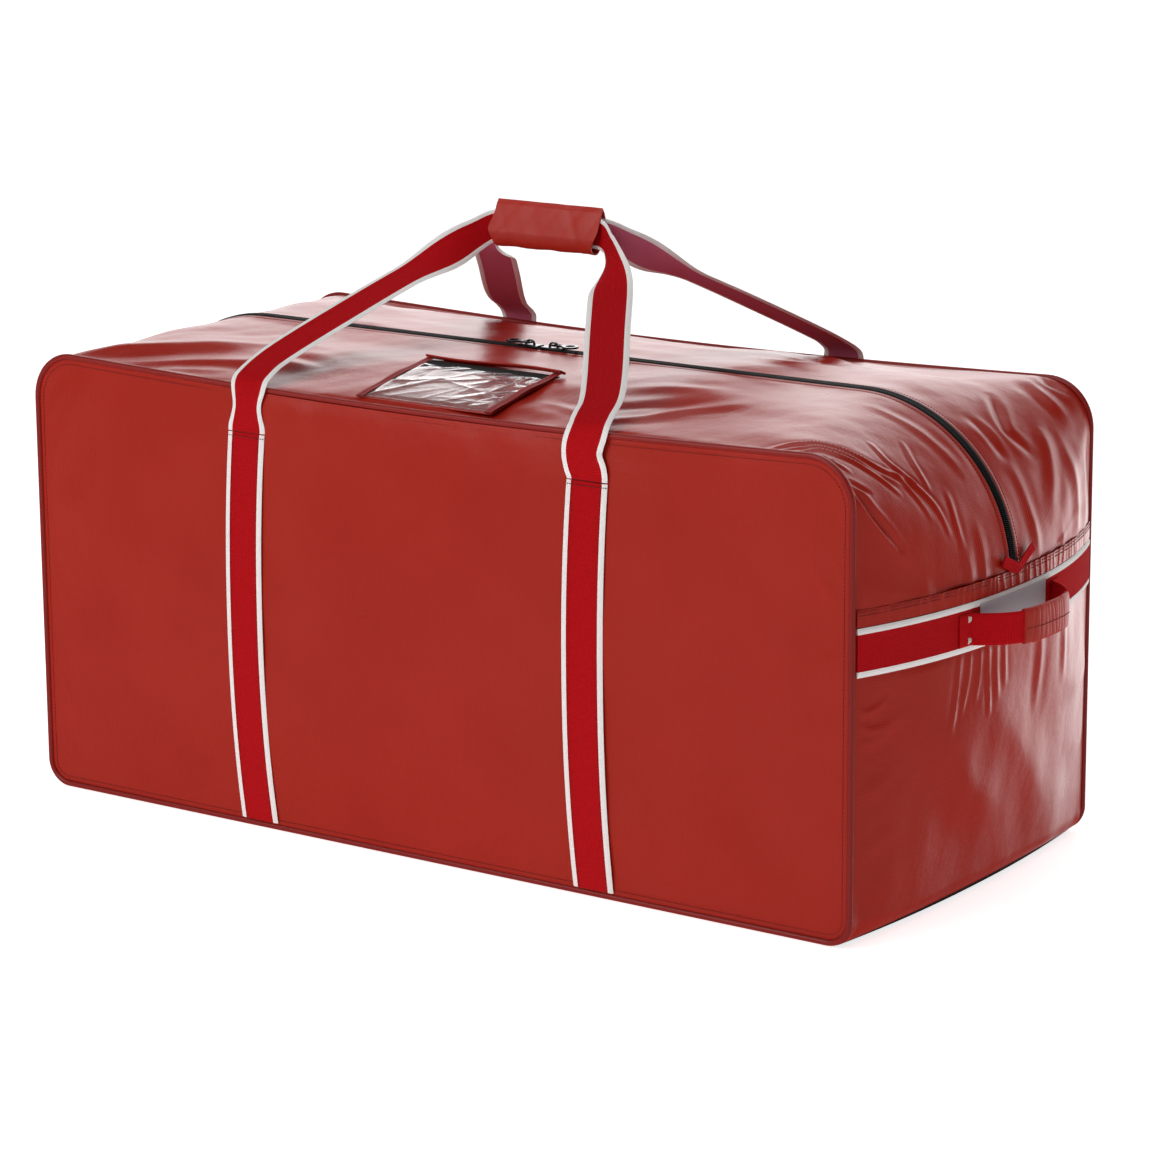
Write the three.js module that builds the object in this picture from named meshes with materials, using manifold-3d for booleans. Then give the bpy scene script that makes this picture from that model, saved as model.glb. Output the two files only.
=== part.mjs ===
// A large hockey equipment bag: a soft box of coated fabric with a full-length zip along its crown,
// two long carry loops that meet in one grip, and a grab handle on each end.
// Millimetres. X runs along the bag, Y from the front (-) to the rear (+), and Z is up.
import * as THREE from "three";
import Module from "manifold-3d";
import { mergeVertices } from "three/addons/utils/BufferGeometryUtils.js";

// Driving sizes
const bagLength = 1016;
const bagDepth = 462;
const bagHeight = 478; // to the top seams at the corners
const topSag = 11; // how far the middle of each top seam hangs below its corners
const topDome = 16; // how far the zip line rises above the corners of the seams
const endBulge = 42;
const panelBulge = 22;
const seamCornerRadius = 50;
const crownCornerRadius = 170;
const baseCornerRadius = 25;

const fabric = 2;
const baseFabric = 2.5;
const boardThickness = 4;
const webbing = 1.8;
const webbingWidth = 48;
const gap = 0.4; // between layers that lie on each other
const pipingRadius = 3.5;

const flapHalfLength = 335; // the stretch of the mouth that opens
const zipGap = 5.6; // from the middle of the zip to the edge of the fabric
const bandTop = 315.8;
const facingHeight = 17;

const strapSpacing = 426; // between the middles of the two webbing strips of one side
const stitchHeight = 424; // where a carry loop leaves its strip
const bendHeight = 478.6; // where the loop leans in over the top seam
const gripHeight = 621;
const gripLength = 132;
const gripStrapWidth = 32;

const grabHalfSpan = 80;
const grabBow = 38;
const grabHeight = 290;
const grabWidth = 32;
const grabFixedEnd = 69; // the sewn ends of a grab handle start here, measured from its middle
const grabClear = 1.5; // room for the slanted ends of its free part to swing past the sewn ones
const sleeveHalfLength = 42;

const sliderLength = 26;
const leftSliderX = -27;
const rightSliderX = 3;

const halfLength = bagLength / 2;
const halfDepth = bagDepth / 2;
const seamDepth = halfDepth - pipingRadius - 0.3; // where the gusset stops beside the piping
const panelInset = pipingRadius + 0.3;
const pipingBottom = pipingRadius + gap;

const wasm = await Module();
wasm.setup();

// Materials
function material(color, roughness, metalness = 0) {
  return new THREE.MeshStandardMaterial({ color, roughness, metalness });
}
const coatedRed = material(0xab2c24, 0.4);
const webbingRed = material(0xb00a18, 0.8);
const bindingRed = material(0x9c0f17, 0.7);
const blackFabric = material(0x1c1a1b, 0.8);
const boardGrey = material(0x4a4a4c, 0.7);
const zipBlack = material(0x2b211f, 0.5);
const sliderMetal = material(0x26262a, 0.35, 0.9);
const paleFabric = material(0xc9c6cb, 0.8);
const clearWindow = material(0xdedbdd, 0.15);
clearWindow.transparent = true;
clearWindow.opacity = 0.4;

// The shape of the filled bag

// 1 on the line of the zip and 0 at the front and rear seams.
function crown(y) {
  return 1 - Math.pow(Math.abs(y) / halfDepth, 2.2);
}

// Half the bag's length at this depth and height: the ends bulge, less so near the base.
function endX(y, z) {
  const below = Math.max(0, (290 - z) / 310);
  return halfLength + endBulge * crown(y) * (1 - 0.9 * below * below);
}

// The height of the top at a place along it: domed across, and sagging in the middle of the seams.
function topZ(x, y) {
  const sag = topSag * Math.cos((Math.PI * x) / bagLength);
  return bagHeight + topDome * crown(y) - sag * (1 - crown(y));
}

function cornerRadius(y) {
  return seamCornerRadius + (crownCornerRadius - seamCornerRadius) * crown(y);
}

// How far the front or rear panel stands out from the plane of its seam.
function panelOut(x, z) {
  const along = 1 - Math.pow(Math.abs(x) / halfLength, 2.2);
  const up = 1 - Math.pow(Math.abs(z - bagHeight / 2) / (bagHeight / 2), 2.2);
  return panelBulge * Math.max(0, along) * Math.max(0, up);
}

// Geometry helpers

function spread(count, from = 0, to = 1) {
  return Array.from({ length: count + 1 }, (_, i) => from + ((to - from) * i) / count);
}

function smooth(t) {
  const s = Math.min(1, Math.max(0, t));
  return s * s * (3 - 2 * s);
}

// A geometry from its points and triangles, turned so that its faces point out.
function closedGeometry(points, triangles) {
  let volume = 0;
  for (let i = 0; i < triangles.length; i += 3) {
    const [a, b, c] = [points[triangles[i]], points[triangles[i + 1]], points[triangles[i + 2]]];
    volume += a.dot(new THREE.Vector3().crossVectors(b, c));
  }
  const faces = volume < 0 ? triangles.slice().reverse() : triangles;
  const geometry = new THREE.BufferGeometry().setFromPoints(points);
  geometry.setIndex(faces);
  geometry.computeVertexNormals();
  return geometry;
}

function quad(triangles, a, b, c, d) {
  triangles.push(a, b, c, a, c, d);
}

// A closed sheet over a grid. surface(u, v) gives a point, and the two faces lie at the distances
// outer and inner from it along the surface's normal. Either distance can be a function of u and v.
function sheet(surface, us, vs, outer, inner) {
  const step = 0.01;
  const distance = (value, u, v) => (typeof value === "function" ? value(u, v) : value);
  const normalAt = (u, v) => {
    const along = surface(Math.min(1, u + step), v).sub(surface(Math.max(0, u - step), v));
    const across = surface(u, Math.min(1, v + step)).sub(surface(u, Math.max(0, v - step)));
    return along.cross(across).normalize();
  };
  const middle = surface(0.5, 0.5);
  const facesOut = normalAt(0.5, 0.5).dot(middle.sub(new THREE.Vector3(0, 0, bagHeight / 2))) > 0;
  const points = [];
  for (const face of [outer, inner]) {
    for (const u of us) {
      for (const v of vs) {
        const shift = distance(face, u, v) * (facesOut ? 1 : -1);
        points.push(surface(u, v).addScaledVector(normalAt(u, v), shift));
      }
    }
  }
  const rows = us.length;
  const columns = vs.length;
  const at = (face, i, j) => (face * rows + i) * columns + j;
  const triangles = [];
  for (let i = 0; i < rows - 1; i++) {
    for (let j = 0; j < columns - 1; j++) {
      quad(triangles, at(0, i, j), at(0, i + 1, j), at(0, i + 1, j + 1), at(0, i, j + 1));
      quad(triangles, at(1, i, j), at(1, i, j + 1), at(1, i + 1, j + 1), at(1, i + 1, j));
    }
  }
  for (let i = 0; i < rows - 1; i++) {
    const last = columns - 1;
    quad(triangles, at(0, i, 0), at(1, i, 0), at(1, i + 1, 0), at(0, i + 1, 0));
    quad(triangles, at(0, i, last), at(0, i + 1, last), at(1, i + 1, last), at(1, i, last));
  }
  for (let j = 0; j < columns - 1; j++) {
    const last = rows - 1;
    quad(triangles, at(0, 0, j), at(0, 0, j + 1), at(1, 0, j + 1), at(1, 0, j));
    quad(triangles, at(0, last, j), at(1, last, j), at(1, last, j + 1), at(0, last, j + 1));
  }
  return closedGeometry(points, triangles);
}

// A ring of cross-sections joined into one closed loop, such as piping.
function closedTube(path, radius, sides) {
  const points = [];
  const triangles = [];
  const count = path.length;
  path.forEach((centre, i) => {
    const ahead = path[(i + 1) % count].clone().sub(path[(i + count - 1) % count]).normalize();
    const out = new THREE.Vector3(0, 1, 0).cross(ahead).normalize();
    for (let k = 0; k < sides; k++) {
      const angle = (2 * Math.PI * k) / sides;
      const point = centre.clone().addScaledVector(out, radius * Math.cos(angle));
      points.push(point.add(new THREE.Vector3(0, radius * Math.sin(angle), 0)));
    }
  });
  for (let i = 0; i < count; i++) {
    for (let k = 0; k < sides; k++) {
      const a = i * sides;
      const b = ((i + 1) % count) * sides;
      const next = (k + 1) % sides;
      quad(triangles, a + k, b + k, b + next, a + next);
    }
  }
  return closedGeometry(points, triangles);
}

// A rectangular sleeve along a path, open at both ends. sections gives, at each station, the four
// outer corners and the four inner ones.
function openSleeve(sections) {
  const points = sections.flat();
  const triangles = [];
  const at = (i, k) => i * 8 + k;
  for (let i = 0; i < sections.length - 1; i++) {
    for (let k = 0; k < 4; k++) {
      const next = (k + 1) % 4;
      quad(triangles, at(i, k), at(i + 1, k), at(i + 1, next), at(i, next));
      quad(triangles, at(i, 4 + k), at(i, 4 + next), at(i + 1, 4 + next), at(i + 1, 4 + k));
    }
  }
  const last = sections.length - 1;
  for (let k = 0; k < 4; k++) {
    const next = (k + 1) % 4;
    quad(triangles, at(0, k), at(0, next), at(0, 4 + next), at(0, 4 + k));
    quad(triangles, at(last, k), at(last, 4 + k), at(last, 4 + next), at(last, next));
  }
  return closedGeometry(points, triangles);
}

// Joins closed geometries into one.
function unite(geometries) {
  const solids = geometries.map((geometry) => {
    const bare = new THREE.BufferGeometry();
    const source = geometry.index ? geometry.toNonIndexed() : geometry;
    bare.setAttribute("position", source.getAttribute("position"));
    const merged = mergeVertices(bare, 1e-4);
    return new wasm.Manifold(
      new wasm.Mesh({
        numProp: 3,
        vertProperties: new Float32Array(merged.attributes.position.array),
        triVerts: new Uint32Array(merged.index.array),
      }),
    );
  });
  const whole = solids.reduce((sum, solid) => sum.add(solid)).getMesh();
  const geometry = new THREE.BufferGeometry();
  geometry.setAttribute("position", new THREE.BufferAttribute(whole.vertProperties, 3));
  geometry.setIndex(new THREE.BufferAttribute(whole.triVerts, 1));
  geometry.computeVertexNormals();
  return geometry;
}

const bag = new THREE.Group();

function addPiece(name, geometry, pieceMaterial) {
  const piece = new THREE.Mesh(geometry, pieceMaterial);
  piece.name = name;
  bag.add(piece);
  return piece;
}

// Front is -1 and rear is +1. Left is -1 and right is +1.
const faces = [
  ["front", -1],
  ["rear", 1],
];
const ends = [
  ["left", -1],
  ["right", 1],
];

// Front and rear panels

// One point of a panel. v runs up the panel, through its rounded bottom and top corners, and u runs
// along the row at that height.
function panelPoint(face, u, v) {
  const low = pipingBottom + panelInset;
  const lowRadius = baseCornerRadius - panelInset;
  const highRadius = seamCornerRadius - panelInset;
  const high = bagHeight - panelInset;
  const halfRow = halfLength - panelInset;
  let z;
  let half = halfRow;
  if (v < 0.2) {
    const angle = (Math.PI / 2) * (v / 0.2);
    z = low + lowRadius * (1 - Math.cos(angle));
    half = halfRow - lowRadius * (1 - Math.sin(angle));
  } else if (v < 0.7) {
    z = low + lowRadius + ((high - highRadius - low - lowRadius) * (v - 0.2)) / 0.5;
  } else {
    const angle = (Math.PI / 2) * ((v - 0.7) / 0.3);
    z = high - highRadius * (1 - Math.sin(angle));
    half = halfRow - highRadius * (1 - Math.cos(angle));
  }
  const x = half * (2 * u - 1);
  const rise = smooth((z - bagHeight / 2) / (high - bagHeight / 2));
  const sagged = z - topSag * Math.cos((Math.PI * x) / bagLength) * rise;
  return new THREE.Vector3(x, face * (halfDepth + panelOut(x, sagged)), sagged);
}

const panelRows = [...spread(3, 0, 0.2), ...spread(7, 0.2, 0.7).slice(1), ...spread(5, 0.7, 1).slice(1)];
for (const [side, face] of faces) {
  const surface = (u, v) => panelPoint(face, u, v);
  addPiece(side + "_panel", sheet(surface, spread(12), panelRows, 0, -fabric), coatedRed);
}

// Piping round the seams of the front and rear panels

function seamLoop(face) {
  const loop = [];
  const corner = (cx, cz, radius, from, count) => {
    for (const angle of spread(count, from, from + Math.PI / 2)) {
      loop.push([cx + radius * Math.cos(angle), cz + radius * Math.sin(angle)]);
    }
  };
  const highZ = bagHeight - seamCornerRadius;
  const lowZ = pipingBottom + baseCornerRadius;
  corner(halfLength - baseCornerRadius, lowZ, baseCornerRadius, -Math.PI / 2, 4);
  corner(halfLength - seamCornerRadius, highZ, seamCornerRadius, 0, 6);
  for (const x of spread(10, halfLength - seamCornerRadius, seamCornerRadius - halfLength).slice(1, -1)) {
    loop.push([x, bagHeight]);
  }
  corner(seamCornerRadius - halfLength, highZ, seamCornerRadius, Math.PI / 2, 6);
  corner(baseCornerRadius - halfLength, lowZ, baseCornerRadius, Math.PI, 4);
  return loop.map(([x, z]) => {
    const rise = smooth((z - bagHeight / 2) / (bagHeight / 2));
    const sagged = z - topSag * Math.cos((Math.PI * x) / bagLength) * rise;
    return new THREE.Vector3(x, face * halfDepth, sagged);
  });
}

for (const [side, face] of faces) {
  addPiece(side + "_piping", closedTube(seamLoop(face), pipingRadius, 6), coatedRed);
}

// Base: coated base fabric with a flat board inside

function baseSurface(u, v) {
  const y = seamDepth * (2 * v - 1);
  const side = u < 0.5 ? -1 : 1;
  const along = Math.abs(2 * u - 1);
  const endOut = endX(y, baseCornerRadius);
  if (along <= 0.8) {
    return new THREE.Vector3(side * (endOut - baseCornerRadius) * (along / 0.8), y, 0);
  }
  const angle = (Math.PI / 2) * ((along - 0.8) / 0.2);
  const x = endOut - baseCornerRadius * (1 - Math.sin(angle));
  return new THREE.Vector3(side * x, y, baseCornerRadius * (1 - Math.cos(angle)));
}

const baseSteps = [...spread(4, 0, 0.1), ...spread(6, 0.1, 0.9).slice(1), ...spread(4, 0.9, 1).slice(1)];
addPiece("base_panel", sheet(baseSurface, baseSteps, spread(8), 0, -baseFabric), blackFabric);

const board = new THREE.BoxGeometry(2 * (halfLength - 30), 2 * (halfDepth - 14), boardThickness);
const boardPiece = addPiece("base_board", board, boardGrey);
boardPiece.position.z = baseFabric + gap + boardThickness / 2;

// Ends: one lower panel each, and a front and a rear panel that turn the corner into the top

const endPanelTop = 316.4;
for (const [side, end] of ends) {
  const lower = (u, v) => {
    const y = seamDepth * (2 * u - 1);
    const z = baseCornerRadius + gap + (endPanelTop - baseCornerRadius - gap) * v;
    return new THREE.Vector3(end * endX(y, z), y, z);
  };
  addPiece(side + "_end_panel", sheet(lower, spread(12), spread(7), 0, -fabric), coatedRed);
}

// The line from the mouth along the top, round the corner and down the end, at one depth.
function cornerLine(end, t, y) {
  const radius = cornerRadius(y);
  const endOut = endX(y, bagHeight - radius);
  const cx = endOut - radius;
  const cz = topZ(cx, y) - radius;
  const start = flapHalfLength + gap;
  if (t < 0.25) {
    const x = start + ((cx - start) * t) / 0.25;
    return new THREE.Vector3(end * x, y, topZ(x, y));
  }
  if (t < 0.75) {
    const angle = Math.PI * (t - 0.25);
    const x = cx + radius * Math.sin(angle);
    return new THREE.Vector3(end * x, y, cz + radius * Math.cos(angle));
  }
  const z = cz + ((endPanelTop + gap - cz) * (t - 0.75)) / 0.25;
  return new THREE.Vector3(end * endX(y, z), y, z);
}

const zipEndShare = 0.728; // the zip stops this far along its line, above the seam facing
const zipSteps = [...spread(2, 0, 0.25), ...spread(6, 0.25, zipEndShare).slice(1)];
const cornerSteps = [...zipSteps, ...spread(2, 0.75, 1)];
const zipTape = 13;
const coilTop = 0.8;
const tapeTop = -fabric - gap;
const tapeBottom = tapeTop - 1;
const coilClear = 1.8; // half the room between the two coils, so that the flaps turn past each other
const zipHalfWidth = zipGap - gap - coilClear + zipTape;
const coilEdge = zipTape / zipHalfWidth; // the share of a half's width where its coil starts
const coilStep = 0.01;
const zipColumns = [0, coilEdge, coilEdge + coilStep, 1];
const zipTopFace = (v) => (v > coilEdge + coilStep / 2 ? coilTop : tapeTop);
// Across one half of the zip: its tape under the fabric, then its coil beside the middle line.
const zipDepth = (v) => coilClear + zipHalfWidth * (1 - v);

for (const [side, end] of ends) {
  for (const [facing, face] of faces) {
    const panel = (u, v) => cornerLine(end, u, face * (zipGap + (seamDepth - zipGap) * v));
    const panelName = facing + "_" + side + "_corner_panel";
    addPiece(panelName, sheet(panel, cornerSteps, spread(6), 0, -fabric), coatedRed);
    const zip = (u, v) => cornerLine(end, u, face * zipDepth(v));
    const half = sheet(zip, zipSteps, zipColumns, (u, v) => zipTopFace(v), tapeBottom);
    addPiece(facing + "_" + side + "_zip_half", half, zipBlack);
  }
}

// Top flaps on both sides of the zip, each with its own half of the zip

const flapRoot = halfDepth - 7; // the flap turns about the seam, so it starts a little inside it
for (const [facing, face] of faces) {
  const flap = (u, v) => {
    const x = flapHalfLength * (2 * u - 1);
    const y = face * (zipGap + (flapRoot - zipGap) * v);
    return new THREE.Vector3(x, y, topZ(x, y));
  };
  addPiece(facing + "_top_flap", sheet(flap, spread(12), spread(6), 0, -fabric), coatedRed);
  const zip = (u, v) => {
    const x = flapHalfLength * (2 * u - 1);
    const y = face * zipDepth(v);
    return new THREE.Vector3(x, y, topZ(x, y));
  };
  const half = sheet(zip, spread(8), zipColumns, (u, v) => zipTopFace(v), tapeBottom);
  addPiece(facing + "_flap_zip_half", half, zipBlack);
}

// Two zip sliders that meet over the middle, each with its own pull

const zipLineZ = bagHeight + topDome;
const sliderPlate = 2;
const sliderBottom = zipLineZ + coilTop + gap;
const sliderWidth = 10;
const bailHalfLength = 4.6;
const bailWall = 1.8;
const bailHole = 3.6;
const bailWidth = 2.4;
const pullAxisZ = sliderBottom + sliderPlate + 2.6;
const pullThickness = 1.6;

function rectangle(x0, y0, x1, y1, Kind = THREE.Shape) {
  const outline = new Kind();
  outline.moveTo(x0, y0);
  outline.lineTo(x1, y0);
  outline.lineTo(x1, y1);
  outline.lineTo(x0, y1);
  outline.closePath();
  return outline;
}

function slider() {
  const plate = new THREE.BoxGeometry(sliderLength, sliderWidth, sliderPlate);
  plate.translate(0, 0, sliderBottom + sliderPlate / 2);
  const bailTop = bailWall + bailHole + 1.2;
  const holeHalf = bailHalfLength - bailWall;
  const bailOutline = rectangle(-bailHalfLength, 0, bailHalfLength, bailTop);
  bailOutline.holes.push(rectangle(-holeHalf, bailWall, holeHalf, bailWall + bailHole, THREE.Path));
  const bail = new THREE.ExtrudeGeometry(bailOutline, { depth: bailWidth, bevelEnabled: false });
  bail.translate(0, 0, -bailWidth / 2);
  bail.rotateX(Math.PI / 2);
  bail.translate(0, 0, sliderBottom + sliderPlate / 2); // its foot is sunk into the plate
  return unite([plate, bail]);
}

// A flat pull with an eye at one end, whose first bar turns inside the slider's bail, and a finger ring.
function sliderPull() {
  const barHalf = 0.9;
  const armHalfWidth = 4.2;
  const armWidth = 2;
  const armLength = 12;
  const ringX = 21;
  const ringRadius = 8;
  const ringHole = 5.2;
  const ringReach = Math.PI * 0.82; // the ring's outline starts and stops where the arms meet it
  const outline = new THREE.Shape();
  outline.moveTo(-barHalf, -armHalfWidth);
  outline.lineTo(armLength, -armHalfWidth);
  outline.absarc(ringX, 0, ringRadius, -ringReach, ringReach, false);
  outline.lineTo(armLength, armHalfWidth);
  outline.lineTo(-barHalf, armHalfWidth);
  outline.closePath();
  const eyeHalf = armHalfWidth - armWidth;
  outline.holes.push(rectangle(barHalf, -eyeHalf, armLength - 1.5, eyeHalf, THREE.Path));
  const ring = new THREE.Path();
  ring.absarc(ringX, 0, ringHole, 0, Math.PI * 2, true);
  outline.holes.push(ring);
  const plate = new THREE.ExtrudeGeometry(outline, {
    depth: pullThickness,
    bevelEnabled: false,
    curveSegments: 8,
  });
  plate.translate(0, 0, -pullThickness / 2);
  return plate;
}

for (const [side, end, x] of [
  ["left", -1, leftSliderX],
  ["right", 1, rightSliderX],
]) {
  const body = addPiece(side + "_slider", slider(), sliderMetal);
  body.position.x = x;
  const pull = addPiece(side + "_slider_pull", sliderPull(), sliderMetal);
  pull.position.set(x, 0, pullAxisZ);
  pull.rotation.z = end < 0 ? Math.PI : 0;
}

// Red webbing tabs folded to a V over the two ends of the zip

function zipEndTab(end) {
  const arm = 34;
  const outline = new THREE.Shape();
  outline.moveTo(0, 336.5);
  outline.lineTo(8, 338);
  outline.lineTo(arm, 352);
  outline.lineTo(arm - 5, 362);
  outline.lineTo(0, 347);
  outline.lineTo(5 - arm, 362);
  outline.lineTo(-arm, 352);
  outline.lineTo(-8, 338);
  outline.closePath();
  const tab = new THREE.ExtrudeGeometry(outline, { depth: webbing, bevelEnabled: false });
  tab.rotateX(Math.PI / 2);
  tab.rotateZ(Math.PI / 2);
  tab.translate(end > 0 ? halfLength + endBulge + 1.6 : -halfLength - endBulge - 1.6 - webbing, 0, 0);
  return tab;
}

for (const [side, end] of ends) {
  addPiece(side + "_zip_end_tab", zipEndTab(end), webbingRed);
}

// Ends: the gathered seam facing, the wide band, the pale backing and the grab handle

for (const [side, end] of ends) {
  const strip = (low, high) => (u, v) => {
    const y = (seamDepth - 1) * (2 * u - 1);
    const z = low + (high - low) * v;
    return new THREE.Vector3(end * endX(y, z), y, z);
  };
  const facing = strip(endPanelTop + 1, endPanelTop + facingHeight);
  addPiece(side + "_seam_facing", sheet(facing, spread(12), [0, 1], gap + 1.4, gap), coatedRed);
  const band = strip(bandTop - webbingWidth, bandTop);
  addPiece(side + "_end_band", sheet(band, spread(12), [0, 1], gap + webbing, gap), webbingRed);
  const backing = (u, v) => {
    const y = 64 * (2 * u - 1);
    const z = bandTop - 4 - 40 * v;
    return new THREE.Vector3(end * endX(y, z), y, z);
  };
  const onBand = 2 * gap + webbing;
  addPiece(side + "_grab_backing", sheet(backing, spread(4), [0, 1], onBand + 0.8, onBand), paleFabric);
}

// The line of a grab handle in plan: it leaves the band at its bartacks and bows outwards.
function grabPoint(end, y, z) {
  const out = Math.max(0, 1 - Math.pow(Math.abs(y) / grabHalfSpan, 3.5));
  return new THREE.Vector3(end * (endX(y, grabHeight) + 2 * gap + webbing + grabBow * out), y, z);
}

function grabStretch(end, from, to, count) {
  const surface = (u, v) => {
    const y = from + (to - from) * u;
    return grabPoint(end, y, grabHeight + grabWidth * (v - 0.5));
  };
  return sheet(surface, spread(count), [0, 1], webbing, 0);
}

function grabSleeve(end) {
  const wall = 1.4;
  const room = gap;
  const sections = spread(8, -sleeveHalfLength, sleeveHalfLength).map((y) => {
    const inner = grabPoint(end, y, grabHeight).x - end * room;
    const outer = inner + end * (webbing + 2 * room);
    const high = grabWidth / 2 + room;
    const box = (x0, x1, half) => [
      new THREE.Vector3(x0, y, grabHeight - half),
      new THREE.Vector3(x1, y, grabHeight - half),
      new THREE.Vector3(x1, y, grabHeight + half),
      new THREE.Vector3(x0, y, grabHeight + half),
    ];
    return [...box(inner - end * wall, outer + end * wall, high + wall), ...box(inner, outer, high)];
  });
  return openSleeve(sections);
}

for (const [side, end] of ends) {
  for (const [facing, face] of faces) {
    const stub = grabStretch(end, face * (grabHalfSpan + 18), face * grabFixedEnd, 8);
    addPiece(side + "_grab_" + facing + "_root", stub, webbingRed);
  }
  const free = grabFixedEnd - grabClear;
  addPiece(side + "_grab_strap", grabStretch(end, -free, free, 14), webbingRed);
  addPiece(side + "_grab_sleeve", grabSleeve(end), coatedRed);
}

// Carry webbing: a strip sewn up each panel, a short free tongue above its stitching, and a loop

const tongueLowY = halfDepth + 9.6;
const tongueHighY = halfDepth + 5.9;

function carryStrip(face, end) {
  const low = pipingBottom + panelInset + 1.6;
  const surface = (u, v) => {
    const x = end * (strapSpacing / 2) + webbingWidth * (v - 0.5);
    const z = low + (stitchHeight - 0.6 - low) * u;
    return new THREE.Vector3(x, face * (halfDepth + panelOut(x, z)), z);
  };
  return sheet(surface, spread(10), spread(2), gap + webbing, gap);
}

// A tongue leaves a little of its height free at each end, so that it clears the strip and the loop.
const tongueStart = 0.01;
const tongueShare = 0.94;

function carryTongue(face, end) {
  const surface = (u, v) => {
    const x = end * (strapSpacing / 2) + webbingWidth * (v - 0.5);
    const t = tongueStart + tongueShare * u;
    const y = tongueLowY + (tongueHighY - tongueLowY) * t;
    return new THREE.Vector3(x, face * y, stitchHeight + (bendHeight - stitchHeight) * t);
  };
  return sheet(surface, spread(2), [0, 1], webbing / 2, -webbing / 2);
}

// The middle line of a carry loop from its right-hand bend to the middle of the grip.
const legPoints = [
  [strapSpacing / 2, 4.4, 479.4],
  [207, -26, 497],
  [152, -115, 550],
  [105, -189, 592],
  [86, -214, 609],
  [66, -227.6, 620.6],
  [36, -227.8, gripHeight],
  [0, -227.8, gripHeight],
].map(([x, inward, z]) => [x, halfDepth + inward, z]);

function carryLoop(face) {
  const right = legPoints.map(([x, y, z]) => new THREE.Vector3(x, face * y, z));
  const left = right.slice(0, -1).map((p) => new THREE.Vector3(-p.x, p.y, p.z));
  const line = new THREE.CatmullRomCurve3([...right, ...left.reverse()], false, "centripetal");
  const across = (u) => {
    const point = line.getPoint(u);
    const ahead = line.getTangent(u);
    const upright = smooth((130 - Math.abs(point.x)) / 60);
    const sense = point.x < 0 ? -1 : 1; // the left leg mirrors the right one
    const wanted = new THREE.Vector3(sense * (1 - upright), 0, upright);
    return wanted.addScaledVector(ahead, -wanted.dot(ahead)).normalize();
  };
  const surface = (u, v) => {
    const point = line.getPoint(u);
    const narrow = smooth((120 - Math.abs(point.x)) / 45);
    const width = webbingWidth + (gripStrapWidth - webbingWidth) * narrow;
    return point.addScaledVector(across(u), width * (v - 0.5));
  };
  return sheet(surface, spread(44), spread(2), webbing / 2, -webbing / 2);
}

// The grip is a sleeve round both loops, closed along a ridge on top. Its rear side peels open, so the
// solid is its front side with the ridge and the fold underneath.
function gripWrap() {
  const wall = 2;
  const halfHeight = 22.5;
  const halfWidth = 10.5;
  const arc = (inset) =>
    spread(10, Math.PI / 2, (Math.PI * 3) / 2).map((angle) => [
      (halfWidth - inset) * Math.cos(angle),
      gripHeight + (halfHeight - inset) * Math.sin(angle),
    ]);
  const ridge = 5;
  const outline = new THREE.Shape();
  const edge = [
    [0.8, gripHeight + halfHeight - wall],
    [0.8, gripHeight + halfHeight + ridge],
    [-2, gripHeight + halfHeight + ridge],
    [-2.4, gripHeight + halfHeight - 0.6],
    ...arc(0).slice(2),
    [0.8, gripHeight - halfHeight],
    [0.8, gripHeight - halfHeight + wall],
    ...arc(wall).reverse(),
  ];
  outline.setFromPoints(edge.map(([y, z]) => new THREE.Vector2(y, z)));
  const wrap = new THREE.ExtrudeGeometry(outline, { depth: gripLength, bevelEnabled: false });
  wrap.rotateX(Math.PI / 2);
  wrap.rotateZ(Math.PI / 2);
  wrap.translate(-gripLength / 2, 0, 0);
  return wrap;
}

for (const [facing, face] of faces) {
  for (const [side, end] of ends) {
    addPiece(facing + "_" + side + "_webbing", carryStrip(face, end), webbingRed);
    addPiece(facing + "_" + side + "_tongue", carryTongue(face, end), webbingRed);
  }
  addPiece(facing + "_carry_loop", carryLoop(face), webbingRed);
}
addPiece("grip_wrap", gripWrap(), coatedRed);

// Card pocket on the front flap: backing, clear window, two bindings and a hook-and-loop strip

const pocketHalfLength = 84;
const pocketFront = 219;
const pocketRear = 103;
const bindingWidth = 9;
const hookStripDepth = 21.4;

function pocketSheet(x0, x1, y0, y1, lift, thickness, us) {
  const surface = (u, v) => {
    const x = x0 + (x1 - x0) * u;
    const y = -(y0 + (y1 - y0) * v);
    return new THREE.Vector3(x, y, topZ(x, y));
  };
  return sheet(surface, us, spread(4), lift + thickness, lift);
}

const windowHalf = pocketHalfLength - bindingWidth;
const windowRear = pocketRear + hookStripDepth + 0.6;
const backingThickness = 0.8;
const onBacking = 2 * gap + backingThickness;
const half = pocketHalfLength;
const pocketLayers = [
  ["pocket_backing", -half, half, pocketFront, pocketRear, gap, backingThickness, coatedRed],
  ["pocket_window", -windowHalf, windowHalf, pocketFront, windowRear, onBacking + 0.3, 0.6, clearWindow],
  ["pocket_hook_strip", -windowHalf, windowHalf, windowRear - 0.6, pocketRear, onBacking, 1.2, blackFabric],
  ["pocket_left_binding", -half, -windowHalf - gap, pocketFront, pocketRear, onBacking, 1.6, bindingRed],
  ["pocket_right_binding", windowHalf + gap, half, pocketFront, pocketRear, onBacking, 1.6, bindingRed],
];
for (const [name, x0, x1, y0, y1, lift, thickness, layerMaterial] of pocketLayers) {
  const layer = pocketSheet(x0, x1, y0, y1, lift, thickness, spread(x1 - x0 > 20 ? 4 : 1));
  addPiece(name, layer, layerMaterial);
}

export default bag;
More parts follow.
